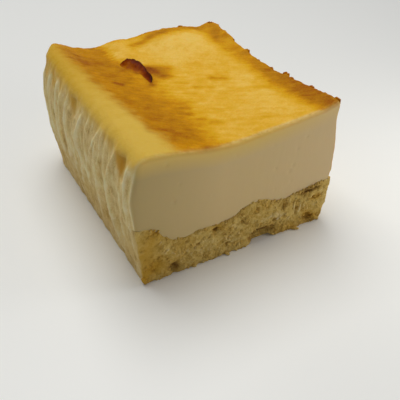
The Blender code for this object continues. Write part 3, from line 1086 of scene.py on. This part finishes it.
    def face_relief(self, x: Array, z: Array) -> tuple[Array, Array]:
        """Works out the broken face that the knife left.

        Args:
            x: X of points on the cut.
            z: Their heights.

        Returns:
            How far each stands out, and how deep it lies in the crumb, from about -0.5 to 1.5, which the finish reads
            as painted shade.
        """
        face = rows(x, 0, z)
        rough = 0.6 * smooth_noise(face, 6, 4) - 0.3 + layered(packed_grains, face, self.face_grains)
        pits = sum(pit.at(x, z) for pit in self.pits)
        return self.stands_proud + rough - pits, 0.35 * pits - 0.6 * rough

    def face_tone(self, x: Array, z: Array) -> tuple[Array, Array]:
        """How pale the cut is (above zero), how much painted shade it has in its pits (below zero), and how buttery it
        is, at each place.
        """
        tone, butter = (sum(patch.at(x, z) for patch in patches) for patches in (self.tones_and_pit_shade, self.butter))
        return tone, np.clip(butter, 0, 1)


@dataclass
class CrumbGrains(CakePart):
    """The grains and flakes of biscuit that stand out of the cut, all in one piece.

    A grain is kept as its centre, its half sizes, its turn and its tone.
    """

    base: BiscuitBase
    slot: ClassVar[Slot] = Slot.BISCUIT
    grain_count: int = 340
    edge_count: int = 120
    foot_count: int = 50
    cut_ends: Range = (-0.5, 75.8)
    face_sizes: Range = (0.35, 0.85)
    edge_sizes: Range = (0.2, 0.5)
    foot_sizes: Range = (0.25, 0.5)
    large_share: float = 0.2
    large_by: float = 1.45
    # X, Z, length and lean in degrees.
    flakes: Sequence[tuple[float, float, float, float]] = (
        (46.5, 9.4, 4.2, 8), (50.5, 10.2, 3, 20), (55, 8.2, 3.4, 24), (59.5, 6.6, 2.6, 40), (64.4, 9, 5, 82),
        (66.6, 8.4, 3.6, 70), (61.4, 11, 4.4, 88), (69, 15.2, 4.6, 12), (73, 14.6, 2.6, 18), (22, 6.6, 2.8, 12),
        (31, 9, 2.4, -20), (34, 12.6, 2.8, 30), (16, 8.6, 2.4, -14), (8.6, 11.8, 2.6, 32), (41.5, 12.4, 3.2, 60),
        (6.4, 15.8, 2.4, 50)
    )
    # X, Y, Z and length of crumbs that stick out at the foot.
    tips: Sequence[tuple[float, float, float, float]] = (
        (62.6, -1.3, 0.7, 3.4), (32.4, -0.9, 0.6, 2.2), (19, -0.7, 0.6, 1.6), (75.8, 2, 3, 2.2), (76.4, 5, 8, 2)
    )
    seed: int = 7

    def model_grain(self) -> tuple[Array, Array]:
        """Models one lumpy grain about 2 across, and returns its vertices and its triangles."""
        deselect_everything()
        bpy.ops.mesh.primitive_ico_sphere_add(subdivisions=2, radius=1, location=(0, 0, 0))
        grain = bpy.context.object
        with editing(grain):
            bpy.ops.mesh.select_all(action="SELECT")
            bpy.ops.transform.vertex_random(offset=0.30, uniform=0.3, normal=0.3, seed=3)
        points = vertex_array(grain.data)
        triangles = np.array([tuple(face.vertices) for face in grain.data.polygons])
        bpy.data.objects.remove(grain)
        return points, triangles

    def model(self) -> Object:
        """Copies the grain to all its places, as one mesh."""
        points, triangles = self.model_grain()
        kinds = (self.on_face, self.on_edge, self.at_foot, self.as_flakes, self.as_tips)
        grains = [g for number, kind in enumerate(kinds) for g in kind(np.random.default_rng(self.seed + number))]
        placed = np.concatenate(
            [points * sizes @ np.array(Euler(turn).to_matrix()).T + centre for centre, sizes, turn, _ in grains]
        )
        x, y, z = placed[:, 0], placed[:, 1], np.maximum(placed[:, 2], 0)
        faces = np.concatenate([triangles + number * len(points) for number in range(len(grains))])
        mesh = bpy.data.meshes.new("crumb_grains")
        mesh.from_pydata(placed.tolist(), [], faces.tolist())
        piece = new_object("crumb_grains", mesh)
        place_vertices(mesh, x, y, z)
        tone, butter = self.base.face_tone(x, z)
        mark(mesh, tone=tone + np.repeat([grain[3] for grain in grains], len(points)), butter=butter)
        return piece

    def face_y(self, x: float, z: float) -> float:
        """Y of the broken face at one place."""
        return -float(self.base.face_relief(np.array([x]), np.array([z]))[0][0])

    def top_z(self, x: float) -> float:
        """Height of the base's top edge at the cut."""
        return float(self.form.boundary(np.array([x]), np.array([0]))[0])

    def on_face(self, random: np.random.Generator) -> Iterator[Grain]:
        """Grains all over the cut, flattened and half sunk."""
        for _ in range(self.grain_count):
            x = random.uniform(*self.cut_ends)
            z = random.uniform(0.8, self.top_z(x) - 0.4)
            size = random.uniform(*self.face_sizes) * (1 if random.uniform() < 1 - self.large_share else self.large_by)
            sizes, turn = size * random.uniform(*STRETCH, 3), random.uniform(0, FULL_TURN, 3)
            yield (x, self.face_y(x, z) + 0.42 * size, z), sizes, turn, random.uniform(-0.3, 0.5)

    def on_edge(self, random: np.random.Generator) -> Iterator[Grain]:
        """Small grains along the top edge of the cut, against the cheese."""
        for _ in range(self.edge_count):
            x = random.uniform(*self.cut_ends)
            z = self.top_z(x) + random.normal(-0.1, 0.32)
            size, turn = random.uniform(*self.edge_sizes), random.uniform(0, FULL_TURN, 3)
            sizes = size * random.uniform(*STRETCH, 3)
            yield (x, self.face_y(x, z - 0.6) * 0.5 + 0.04, z), sizes, turn, random.uniform(-0.5, 0.4)

    def at_foot(self, random: np.random.Generator) -> Iterator[Grain]:
        """Grains along the foot of the cut, standing on the floor."""
        for _ in range(self.foot_count):
            x = random.uniform(0.5, 75)
            if abs(x - self.form.hollow_middle) >= self.form.hollow_half_length:
                size, turn = random.uniform(*self.foot_sizes), random.uniform(0, FULL_TURN, 3)
                sizes = size * random.uniform(*STRETCH, 3)
                yield (x, self.face_y(x, 0.6) + 0.1, size * 0.6), sizes, turn, random.uniform(-0.5, 0.5)

    def as_flakes(self, random: np.random.Generator) -> Iterator[Grain]:
        """The pale flat flakes that lie in the cut."""
        for x, z, length, lean in self.flakes:
            sizes = (length / 2, 0.45, random.uniform(0.45, 0.65))
            turn = (random.uniform(-0.3, 0.3), -math.radians(lean), random.uniform(-0.15, 0.15))
            yield (x, self.face_y(x, z) + 0.12, z), sizes, turn, random.uniform(0.9, 1.3)

    def as_tips(self, random: np.random.Generator) -> Iterator[Grain]:
        """The crumbs that stick out at the foot."""
        for x, y, z, length in self.tips:
            turn = (0, random.uniform(-0.2, 0.2), random.uniform(-1.1, -0.5))
            yield (x, y, z), (length / 2, 0.6, 0.55), turn, 0.3


@dataclass
class Blister(CakePart):
    """The burnt bubble of skin: a glossy crescent that curls up from the top."""

    spine_x: Points = ((0, 24), (0.16, 25.6), (0.34, 27.4), (0.5, 28.6), (0.66, 28.8), (0.84, 28.6), (1, 27.8))
    spine_y: Points = ((0, 68.8), (0.16, 66), (0.34, 63), (0.5, 60), (0.66, 56.6), (0.84, 52.8), (1, 48.6))
    half_width: Points = (
        (0, 0.5), (0.05, 1.4), (0.14, 2.1), (0.3, 2.6), (0.5, 1.8), (0.66, 1.25), (0.84, 1.2), (1, 0.1)
    )
    height: Points = ((0, 0.2), (0.05, 1.3), (0.14, 2), (0.3, 2), (0.5, 1.5), (0.66, 1.1), (0.84, 0.9), (1, -0.5))
    counts: tuple[int, int, int] = (96, 30, 5)
    length: float = 22
    step: float = 0.01
    sunk: float = 0.9
    crest_at: float = 0.42
    wrinkles: Waves = ((0.16, (2.6, 1.4, 1), 4), (0.10, (0.9, 0.7, 1), 6))
    lean: float = 0.45

    def model(self) -> Object:
        """Makes the crescent from a gridded box."""
        piece = gridded_box("caramel_blister", self.counts)
        unit = vertex_array(piece.data)
        along, across, share = unit[:, 0], 2 * unit[:, 1] - 1, unit[:, 2]
        x, y = curve_through(self.spine_x, along), curve_through(self.spine_y, along)
        run_x, run_y = (
            curve_through(spine, along + self.step) - curve_through(spine, along - self.step) for spine in (
                self.spine_x, self.spine_y
            )
        )
        run = np.maximum(np.hypot(run_x, run_y), 1e-9)
        path = rows(along * self.length, across, 0)
        width = curve_through(self.half_width, along) * (1 + 0.3 * smooth_noise(path, (2.1, 3, 1), 2))
        rising = ease((across + 1) / (self.crest_at + 1))
        falling = np.sqrt(np.clip(1 - ((across - self.crest_at) / (1 - self.crest_at)) ** 2, 0, 1))
        profile = np.where(across < self.crest_at, rising, falling)
        body = rows(along * self.length, across * width, share)
        wrinkles = layered(smooth_noise, body, self.wrinkles)
        height = curve_through(self.height, along) * profile * (1 + wrinkles) + 0.8 * wrinkles * profile
        aside = (across * width + self.lean * height * share) / run
        x, y = x - run_y * aside, y + run_x * aside
        place_vertices(piece.data, x, y, self.form.top(x, y) - self.sunk + share * (self.sunk + height))
        # A paler patch in the bubble's head: partly thinner skin, partly a painted highlight.
        thin_skin_glint = bell(along - 0.2, 0.07) * bell(across + 0.1, 0.4)
        mark(piece.data, outer=across - 0.45 * thin_skin_glint + 0.5 * between(along, 0.55, 0.8))
        recalculate_outside(piece)
        return piece


@dataclass(frozen=True)
class Flake:
    """A curled scrap of crust: where it stands (X, Y), its length, height, heading and outward lean."""

    x: float
    y: float
    length: float
    height: float
    heading: float
    lean: float


@dataclass
class RimFlakes(CakePart):
    """The scraps of crust that stand on the browned rim."""

    flakes: Sequence[Flake] = each(Flake, (
        (74.5, 29.6, 3.4, 0.6, 92, 0.6), (74.5, 26.2, 2.2, 0.4, 84, 0.6), (74.4, 15, 2.6, 0.4, 92, 0.6),
        (74.5, 1.8, 2.8, 0.7, 96, 0.2), (74.2, 38.5, 2.2, 0.5, 92, 0.6), (74.2, 47, 2, 0.4, 90, 0.5),
        (74.2, 55, 3, 0.6, 90, 0.5), (74.2, 66, 2.4, 0.4, 88, 0.5), (73, 82.6, 3, 0.8, 120, 0.3),
        (60, 86.2, 2.6, 0.4, 176, 0.6), (44, 87.2, 2.2, 0.3, 184, 0.5), (20, 89, 2.6, 0.4, 178, 0.4),
    ))
    counts: tuple[int, int, int] = (14, 3, 6)
    thickness: float = 0.5
    sunk: float = 1.1
    browning: float = 0.66

    def model(self) -> Object:
        """Makes the flakes and joins them."""
        scraps = [self.make_flake(number, flake) for number, flake in enumerate(self.flakes)]
        deselect_everything()
        for scrap in scraps:
            scrap.select_set(True)
        bpy.context.view_layer.objects.active = scraps[0]
        bpy.ops.object.join()
        scraps[0].name = "rim_flakes"
        recalculate_outside(scraps[0])
        return scraps[0]

    def make_flake(self, number: int, flake: Flake) -> Object:
        """Makes one flake: a thin upright leaf with a ragged top edge."""
        scrap = gridded_box(f"rim_flake_{number}", self.counts)
        unit = vertex_array(scrap.data)
        along, across, up = 2 * unit[:, 0] - 1, 2 * unit[:, 1] - 1, unit[:, 2]
        rag = smooth_noise(rows(along * 2.6, 0, up), 1, 5 * number + 1.3)
        outline = np.sqrt(np.clip(1 - np.abs(along) ** 2.4, 0, 1)) * (1 + 0.3 * rag)
        rise = -self.sunk + up * (self.sunk + flake.height * outline)
        thin = self.thickness * (1 - 0.55 * up) * (0.35 + 0.65 * np.sqrt(np.clip(1 - along**2, 0, 1)))
        run_x, run_y = math.cos(math.radians(flake.heading)), math.sin(math.radians(flake.heading))
        outward = across * thin + flake.lean * np.clip(rise, 0, None) + 0.25 * rag
        x = flake.x + run_x * along * flake.length / 2 + run_y * outward
        y = flake.y + run_y * along * flake.length / 2 - run_x * outward
        foot = self.form.top(np.array([flake.x]), np.array([flake.y]))[0] - 0.3
        place_vertices(scrap.data, x, y, foot + rise)
        mark(scrap.data, skin=np.ones_like(up), browning=self.browning + 0.12 * up + 0.1 * rag)
        return scrap


# Finishes


@dataclass(frozen=True)
class Finish:
    """What every finish shares: a name, and a look that fills the shader's sockets."""

    name: str

    def look(self, add: AddNode) -> dict:
        """Adds the nodes, and gives the shader's socket names with their values or what feeds them."""
        raise NotImplementedError

    def make(self) -> Material:
        """Builds the material."""
        material = bpy.data.materials.new(self.name)
        material.use_nodes = True
        tree = material.node_tree
        fill_sockets(tree.nodes["Principled BSDF"], self.look(partial(add_node, tree)))
        return material


@dataclass(frozen=True)
class PaperedFace:
    """The look that both layers take on where the lining was: pale on the ribs and tan in the valleys."""

    stops: Stops = ((0, "#946E37"), (0.25, "#BF9E5E"), (0.50, "#E1C584"), (0.75, "#EED99C"), (1, "#F4E6B6"))
    low_stops: Stops = ((0, "#8C6630"), (0.25, "#BB9750"), (0.50, "#DFBF80"), (0.75, "#EBD39A"), (1, "#F3E5BA"))

    def colour(self, add: AddNode, place: Socket, crest: Socket) -> tuple[Socket, Socket]:
        """Adds the look to a material.

        Args:
            add: Adds a node to the material.
            place: Object coordinates.
            crest: How much of a rib's crest a point is.

        Returns:
            The colour, and the height of its upright streaks.
        """
        # Upright streaks of about 1 mm by 4 mm, where the paper's fine creases pressed in.
        upright = add("Mapping", {"Vector": place, "Scale": (1, 1, 0.25)})
        streaks = add("TexNoise", {"Vector": upright, "Scale": 1 / (1.2 * MM), "Detail": 5, "Roughness": 0.62})
        blotches = add("TexNoise", {"Vector": place, "Scale": 1 / (4.5 * MM), "Detail": 3})
        specks = add("TexNoise", {"Vector": place, "Scale": 1 / (0.5 * MM), "Detail": 3, "Roughness": 0.7})
        level = add("Math", (crest, 0.40, -0.62), operation="MULTIPLY_ADD")
        for pattern, share in ((streaks, 1), (blotches, 0.6), (specks, 0.66)):
            level = add("Math", (pattern, share, level), operation="MULTIPLY_ADD")
        upper, lower = (add("ValToRGB", (level,), stops=stops) for stops in (self.stops, self.low_stops))
        # Below about 20 mm it stood against biscuit, so it is browner towards the foot.
        height = add("SeparateXYZ", (place,), "Z")
        uneven = add("Math", (blotches, 12 * MM, height), operation="MULTIPLY_ADD")
        rise = add("MapRange", (uneven, 13 * MM, 31 * MM))
        return add("Mix", {"Factor": rise, UNDER: lower, OVER: upper}, **COLOURS), streaks


@dataclass(frozen=True)
class BakedCheese(Finish):
    """Baked cream cheese, poured and set in an oven: smooth and faintly moist, with a browned skin."""

    name: str = "baked_cheese"
    cream: str = "#E5C993"
    under_skin: str = "#F6D276"
    # Darker cream towards the left side: partly a baked margin, partly painted shade.
    margin_tone_and_shade: str = "#CBB37C"
    far_cream: str = "#DCC299"
    # The shoulder's colours: partly its own duller tone, partly painted shade; the lowest one is painted light.
    dull_shaded_front: str = "#DCB64C"
    dull_shaded_back: str = "#D0A432"
    shoulder_low_light: str = "#E8C268"
    skin_stops: Stops = (
        (0.10, "#F2CB6C"), (0.22, "#F2C65A"), (0.34, "#E8B232"), (0.45, "#DFA612"), (0.58, "#CF8E02"),
        (0.70, "#B97B00"), (0.82, "#A05800"), (0.92, "#743600"), (1, "#4A1C04")
    )

    def look(self, add: AddNode) -> dict:
        """Its colour follows marks on the vertices, with finer mottling over them."""
        place = add("TexCoord", out="Object")
        cut, skin, browning, lined, crest, depth = (
            add("Attribute", out="Fac", attribute_name=mark_name) for mark_name in (
                "cut", "skin", "browning", "lined", "crest", "depth"
            )
        )
        # Fine freckles of the skin, about 0.7 mm across, and softer clouds of 3 mm.
        freckles = add("TexNoise", {"Vector": place, "Scale": 1 / (0.7 * MM), "Detail": 3})
        clouds = add("TexNoise", {"Vector": place, "Scale": 1 / (3 * MM), "Detail": 2})
        spread = add("Math", (freckles, clouds))
        swing = add("MapRange", (spread, 0.6, 1.4, -0.07, 0.07))
        ramp = add("ValToRGB", (add("Math", (browning, swing)),), stops=self.skin_stops)
        # On the left shoulder the skin is a duller yellow, partly its own tone and partly painted shade where the
        # shoulder faces away from the light: paler near the cut and darker towards the back, with a lighter, more
        # golden painted light down towards the paper, where the shoulder turns aside.
        position = add("SeparateXYZ", (place,)).node.outputs
        far = add("MapRange", (position["Y"], -25 * MM, 20 * MM, -0.5, 0.5))
        far = add("Math", (clouds, 1, far), operation="MULTIPLY_ADD", use_clamp=True)
        low = add("MapRange", (depth, 0.8, 4, 0, 0.7))
        # The cut is cream; darker and yellower towards the papered left side, partly a baked margin and partly painted
        # shade; yellower within 7 mm of the skin and pinker on the right.
        near_side = add("MapRange", (position["X"], -40 * MM, -8 * MM, 1, 0))
        near_skin = add("MapRange", (depth, 0.3, 7, 1, 0))
        far_end = add("MapRange", (position["X"], 5 * MM, 38 * MM, 0, 0.6))
        paper, streaks = PaperedFace().colour(add, place, crest)
        shoulder_tone_and_shade = linear_from_hex(self.dull_shaded_front)
        section = linear_from_hex(self.cream)
        for share, tone in ((far, self.dull_shaded_back), (low, self.shoulder_low_light)):
            shoulder_tone_and_shade = add("Mix", {"Factor": share, UNDER: shoulder_tone_and_shade, OVER: linear_from_hex(tone)}, **COLOURS)
        for share, tone in ((near_side, self.margin_tone_and_shade), (near_skin, self.under_skin), (far_end, self.far_cream)):
            section = add("Mix", {"Factor": share, UNDER: section, OVER: linear_from_hex(tone)}, **COLOURS)
        # Painted shade on the left shoulder dulls the browned skin's colour there.
        top = add("Mix", {"Factor": lined, UNDER: ramp, OVER: shoulder_tone_and_shade}, **COLOURS)
        body = add("Mix", {"Factor": cut, UNDER: paper, OVER: section}, **COLOURS)
        # The skin has a soft sheen in patches, and the papered sides hardly any.
        gloss = add("MapRange", (skin, 0, 1, 0.62, 0.45))
        patchy = add("MapRange", (clouds, 0.3, 0.7, -0.07, 0.07))
        grain = add("TexNoise", {"Vector": place, "Scale": 1 / (0.45 * MM), "Detail": 4, "Roughness": 0.65})
        streaky = add("Math", (streaks, 1.6, grain), operation="MULTIPLY_ADD")
        off_cut = add("MapRange", (cut, 0, 1, 0.55, 0.10))
        return {
            "Base Color": add("Mix", {"Factor": skin, UNDER: body, OVER: top}, **COLOURS),
            "Roughness": add("Math", (gloss, patchy)), "IOR": 1.42, "Specular IOR Level": 0.08,
            "Subsurface Weight": 0.3, "Subsurface Radius": (1, 0.6, 0.28), "Subsurface Scale": 1.8 * MM,
            "Normal": add("Bump", {"Height": streaky, "Strength": off_cut, "Distance": 0.3 * MM})
        }


@dataclass(frozen=True)
class BiscuitCrumb(Finish):
    """Crushed butter biscuit, pressed and baked: dull and grainy, with painted shade in its hollows."""

    name: str = "pressed_biscuit"
    stops: Stops = (
        (0, "#735022"), (0.22, "#A27C38"), (0.42, "#D0AB54"), (0.60, "#E0C06C"), (0.80, "#E8CD8C"), (1, "#EFDCAC")
    )
    buttery: str = "#CE9E2E"

    def look(self, add: AddNode) -> dict:
        """Grains of uneven tone, with painted shade where the surface lies deep."""
        place = add("TexCoord", out="Object")
        hollow, crest, pressed, own_tone, butter = (
            add(
                "Attribute", out="Fac", attribute_name=mark_name
            ) for mark_name in ("hollow", "crest", "pressed", "tone", "butter")
        )
        # Biscuit grains of about 1.3 mm, each of its own tone, with finer meal between them.
        warp = add("TexNoise", {"Vector": place, "Scale": 1 / (2 * MM), "Detail": 2}, "Color")
        warped = add("VectorMath", (warp, (1.2 * MM,) * 3, place), operation="MULTIPLY_ADD")
        grains = add("TexVoronoi", {"Vector": warped, "Scale": 1 / (1.3 * MM)}).node.outputs
        shade = add("SeparateColor", (grains["Color"],))
        meal = add("TexNoise", {"Vector": place, "Scale": 1 / (0.55 * MM), "Detail": 4, "Roughness": 0.7})
        patches = add("TexNoise", {"Vector": place, "Scale": 1 / (7 * MM), "Detail": 2})
        by_grain = add("MapRange", (shade, 0, 1, -0.12, 0.12))
        by_meal = add("MapRange", (meal, 0.3, 0.7, -0.10, 0.10))
        by_patch = add("MapRange", (patches, 0.3, 0.7, 0.40, 0.60))
        level = add("Math", (add("Math", (by_grain, by_meal)), by_patch))
        # Painted shade darkens the crumb where it lies deep.
        for own_mark, share in ((own_tone, 0.16), (hollow, -0.16)):
            level = add("Math", (own_mark, share, level), operation="MULTIPLY_ADD")
        crumb = add("ValToRGB", (level,), stops=self.stops)
        soaked = add("Math", (butter, 0.95), operation="MULTIPLY")
        # Against the lining a film of baked butter hides most of the crumb.
        bare = add("MapRange", (patches, 0.35, 0.7, 0.85, 0.5))
        film = add("Math", (pressed, bare), operation="MULTIPLY")
        paper, _ = PaperedFace().colour(add, place, crest)
        for share, over in ((soaked, linear_from_hex(self.buttery)), (film, paper)):
            crumb = add("Mix", {"Factor": share, UNDER: crumb, OVER: over}, **COLOURS)
        height = add("Math", (grains["Distance"], -0.8, meal), operation="MULTIPLY_ADD")
        return {
            "Base Color": crumb, "Roughness": 0.82, "IOR": 1.45, "Specular IOR Level": 0.3,
            "Normal": add("Bump", {"Height": height, "Strength": 0.5, "Distance": 0.6 * MM})
        }


@dataclass(frozen=True)
class CaramelSkin(Finish):
    """Skin that bubbled up and burnt: a hard brown crust with small glints, darkest at its outer edge."""

    name: str = "caramelised_skin"
    stops: Stops = (
        (0, "#D09004"), (0.14, "#C07A04"), (0.34, "#9C4E04"), (0.55, "#7A2E02"), (0.78, "#551A02"), (1, "#380E02")
    )

    def look(self, add: AddNode) -> dict:
        """Brown by its place across the bubble, mottled with scorch marks about 1.4 mm across."""
        place = add("TexCoord", out="Object")
        outer = add("Attribute", out="Fac", attribute_name="outer")
        marks = add("TexNoise", {"Vector": place, "Scale": 1 / (1.4 * MM), "Detail": 4, "Roughness": 0.6})
        level = add("Math", (outer, 0.42, 0.35), operation="MULTIPLY_ADD")
        level = add("Math", (marks, 0.5, level), operation="MULTIPLY_ADD")
        fine = add("TexNoise", {"Vector": place, "Scale": 1 / (0.6 * MM), "Detail": 3})
        return {
            "Base Color": add("ValToRGB", (level,), stops=self.stops), "Roughness": 0.28, "IOR": 1.46,
            "Specular IOR Level": 0.03, "Normal": add("Bump", {"Height": fine, "Strength": 0.3, "Distance": 0.25 * MM})
        }


@dataclass(frozen=True)
class PaleStage(Finish):
    """A plain pale floor for the piece to stand on."""

    name: str = "pale_stage"
    colour: str = "#F3F4F2"

    def look(self, _: AddNode) -> dict:
        """One smooth colour, without nodes of its own."""
        return {"Base Color": linear_from_hex(self.colour), "Roughness": 0.4}


# The studio


@dataclass(frozen=True)
class Lamp:
    """A soft square light: where it stands, what it is aimed at, its size, power and colour."""

    name: str
    place: Triple
    aim: Triple
    size: float
    power: float
    colour: str


@dataclass
class Studio:
    """Floor, lights and the camera at the photograph's viewing angle."""

    azimuth: float = math.radians(31.8)
    elevation: float = math.radians(37.7)
    roll: float = math.radians(2.6)
    distance: float = 175.5
    target: Triple = (22.9, 3.7, 25)
    focal_px: float = 533.3
    frame_px: float = 400
    sensor: float = 36
    clip: Range = (0.01, 20)
    ambient: str = "#F6F7FA"
    ambient_strength: float = 0.20
    lamps: Sequence[Lamp] = (
        Lamp("window_light", (0, 0.28, 0.90), (0, 0, 0.02), 0.80, 6.9, "#FFFEFB"),
        Lamp("right_fill", (0.16, -0.11, 0.09), (0.07, -0.04, 0.03), 0.08, 0.073, "#FFFAF2")
    )

    def build(self) -> None:
        """Sets up everything that isn't part of the object."""
        self.make_floor()
        self.make_world()
        for lamp in self.lamps:
            self.make_lamp(lamp)
        self.make_camera()
        bpy.context.scene.view_settings.view_transform = "Standard"

    def make_floor(self) -> None:
        """A large disc that fills the camera's view from every side."""
        deselect_everything()
        bpy.ops.mesh.primitive_circle_add(vertices=96, radius=3, fill_type="NGON", location=(0, 0, 0))
        floor = bpy.context.object
        floor.name = "pale_floor"
        floor.data.materials.append(PaleStage().make())
        floor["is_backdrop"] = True

    def make_world(self) -> None:
        """An even pale sky."""
        world = bpy.data.worlds.new("even_sky")
        world.use_nodes = True
        fill_sockets(world.node_tree.nodes["Background"], (linear_from_hex(self.ambient), self.ambient_strength))
        bpy.context.scene.world = world

    def make_lamp(self, lamp: Lamp) -> None:
        """One soft area light, aimed at its mark."""
        light = bpy.data.lights.new(lamp.name, "AREA")
        light.shape, light.size, light.energy = "SQUARE", lamp.size, lamp.power
        light.color = linear_from_hex(lamp.colour)[:3]
        turn = (Vector(lamp.aim) - Vector(lamp.place)).to_track_quat("-Z", "Y").to_matrix().to_4x4()
        new_object(lamp.name, light).matrix_world = Matrix.Translation(lamp.place) @ turn

    def make_camera(self) -> None:
        """The camera, worked out from its angles round the piece and its distance."""
        flat = math.cos(self.elevation)
        back = Vector((-math.sin(self.azimuth) * flat, -math.cos(self.azimuth) * flat, math.sin(self.elevation)))
        level = (-back).cross(Vector((0, 0, 1))).normalized()
        upright = level.cross(-back)
        right = math.cos(self.roll) * level + math.sin(self.roll) * upright
        up = math.cos(self.roll) * upright - math.sin(self.roll) * level
        target = Vector(self.target) - Vector((*DESIGN_CENTRE, 0))
        matrix = Matrix((right, up, back)).transposed().to_4x4()
        matrix.translation = (target + back * self.distance) * MM
        data = bpy.data.cameras.new("camera")
        data.sensor_width, data.lens = self.sensor, self.focal_px / self.frame_px * self.sensor
        data.clip_start, data.clip_end = self.clip
        bpy.context.scene.camera = new_object("camera", data)
        bpy.context.scene.camera.matrix_world = matrix


def report(piece: Object) -> None:
    """Logs a finished piece's name and size."""
    triangles = sum(len(face.vertices) - 2 for face in piece.data.polygons)
    sides = " x ".join(f"{side / MM:.1f}" for side in piece.dimensions)
    log.info("%s: %s mm, %d triangles", piece.name, sides, triangles)


def write_sizes() -> None:
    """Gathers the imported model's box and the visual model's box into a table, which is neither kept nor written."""
    boxes = {"cad": CAD_BOX, "visual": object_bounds()}
    {name: [list(corner) for corner in box] for name, box in boxes.items()}


def main() -> None:
    """Builds the studio and the piece, layer by layer."""
    logging.basicConfig(level=logging.INFO, format="%(name)s: %(message)s")
    Studio().build()
    form = CakeForm()
    linings = {Side.LEFT: Lining(LEFT_PLEATS, LEFT_FOLDS + FINE_FOLDS.make(form.left_length, 11), 1)}
    for number, (side, length) in enumerate(((Side.RIGHT, form.left_length), (Side.BACK, form.width))):
        folds = TALL_FOLDS.make(length, 21 + number) + FINE_FOLDS.make(length, 12 + number)
        linings[side] = Lining(uneven_pleats(length), folds, 21 + 20 * number)
    cheese, biscuit = BakedCheese().make(), BiscuitCrumb().make()
    base = BiscuitBase(form, linings)
    for part, material in (
        (CheeseFilling(form, linings), cheese), (Blister(form), CaramelSkin().make()), (RimFlakes(form), cheese),
        (base, biscuit), (CrumbGrains(form, base), biscuit)
    ):
        report(part.build(material))
    write_sizes()


if __name__ == "__main__":
    main()
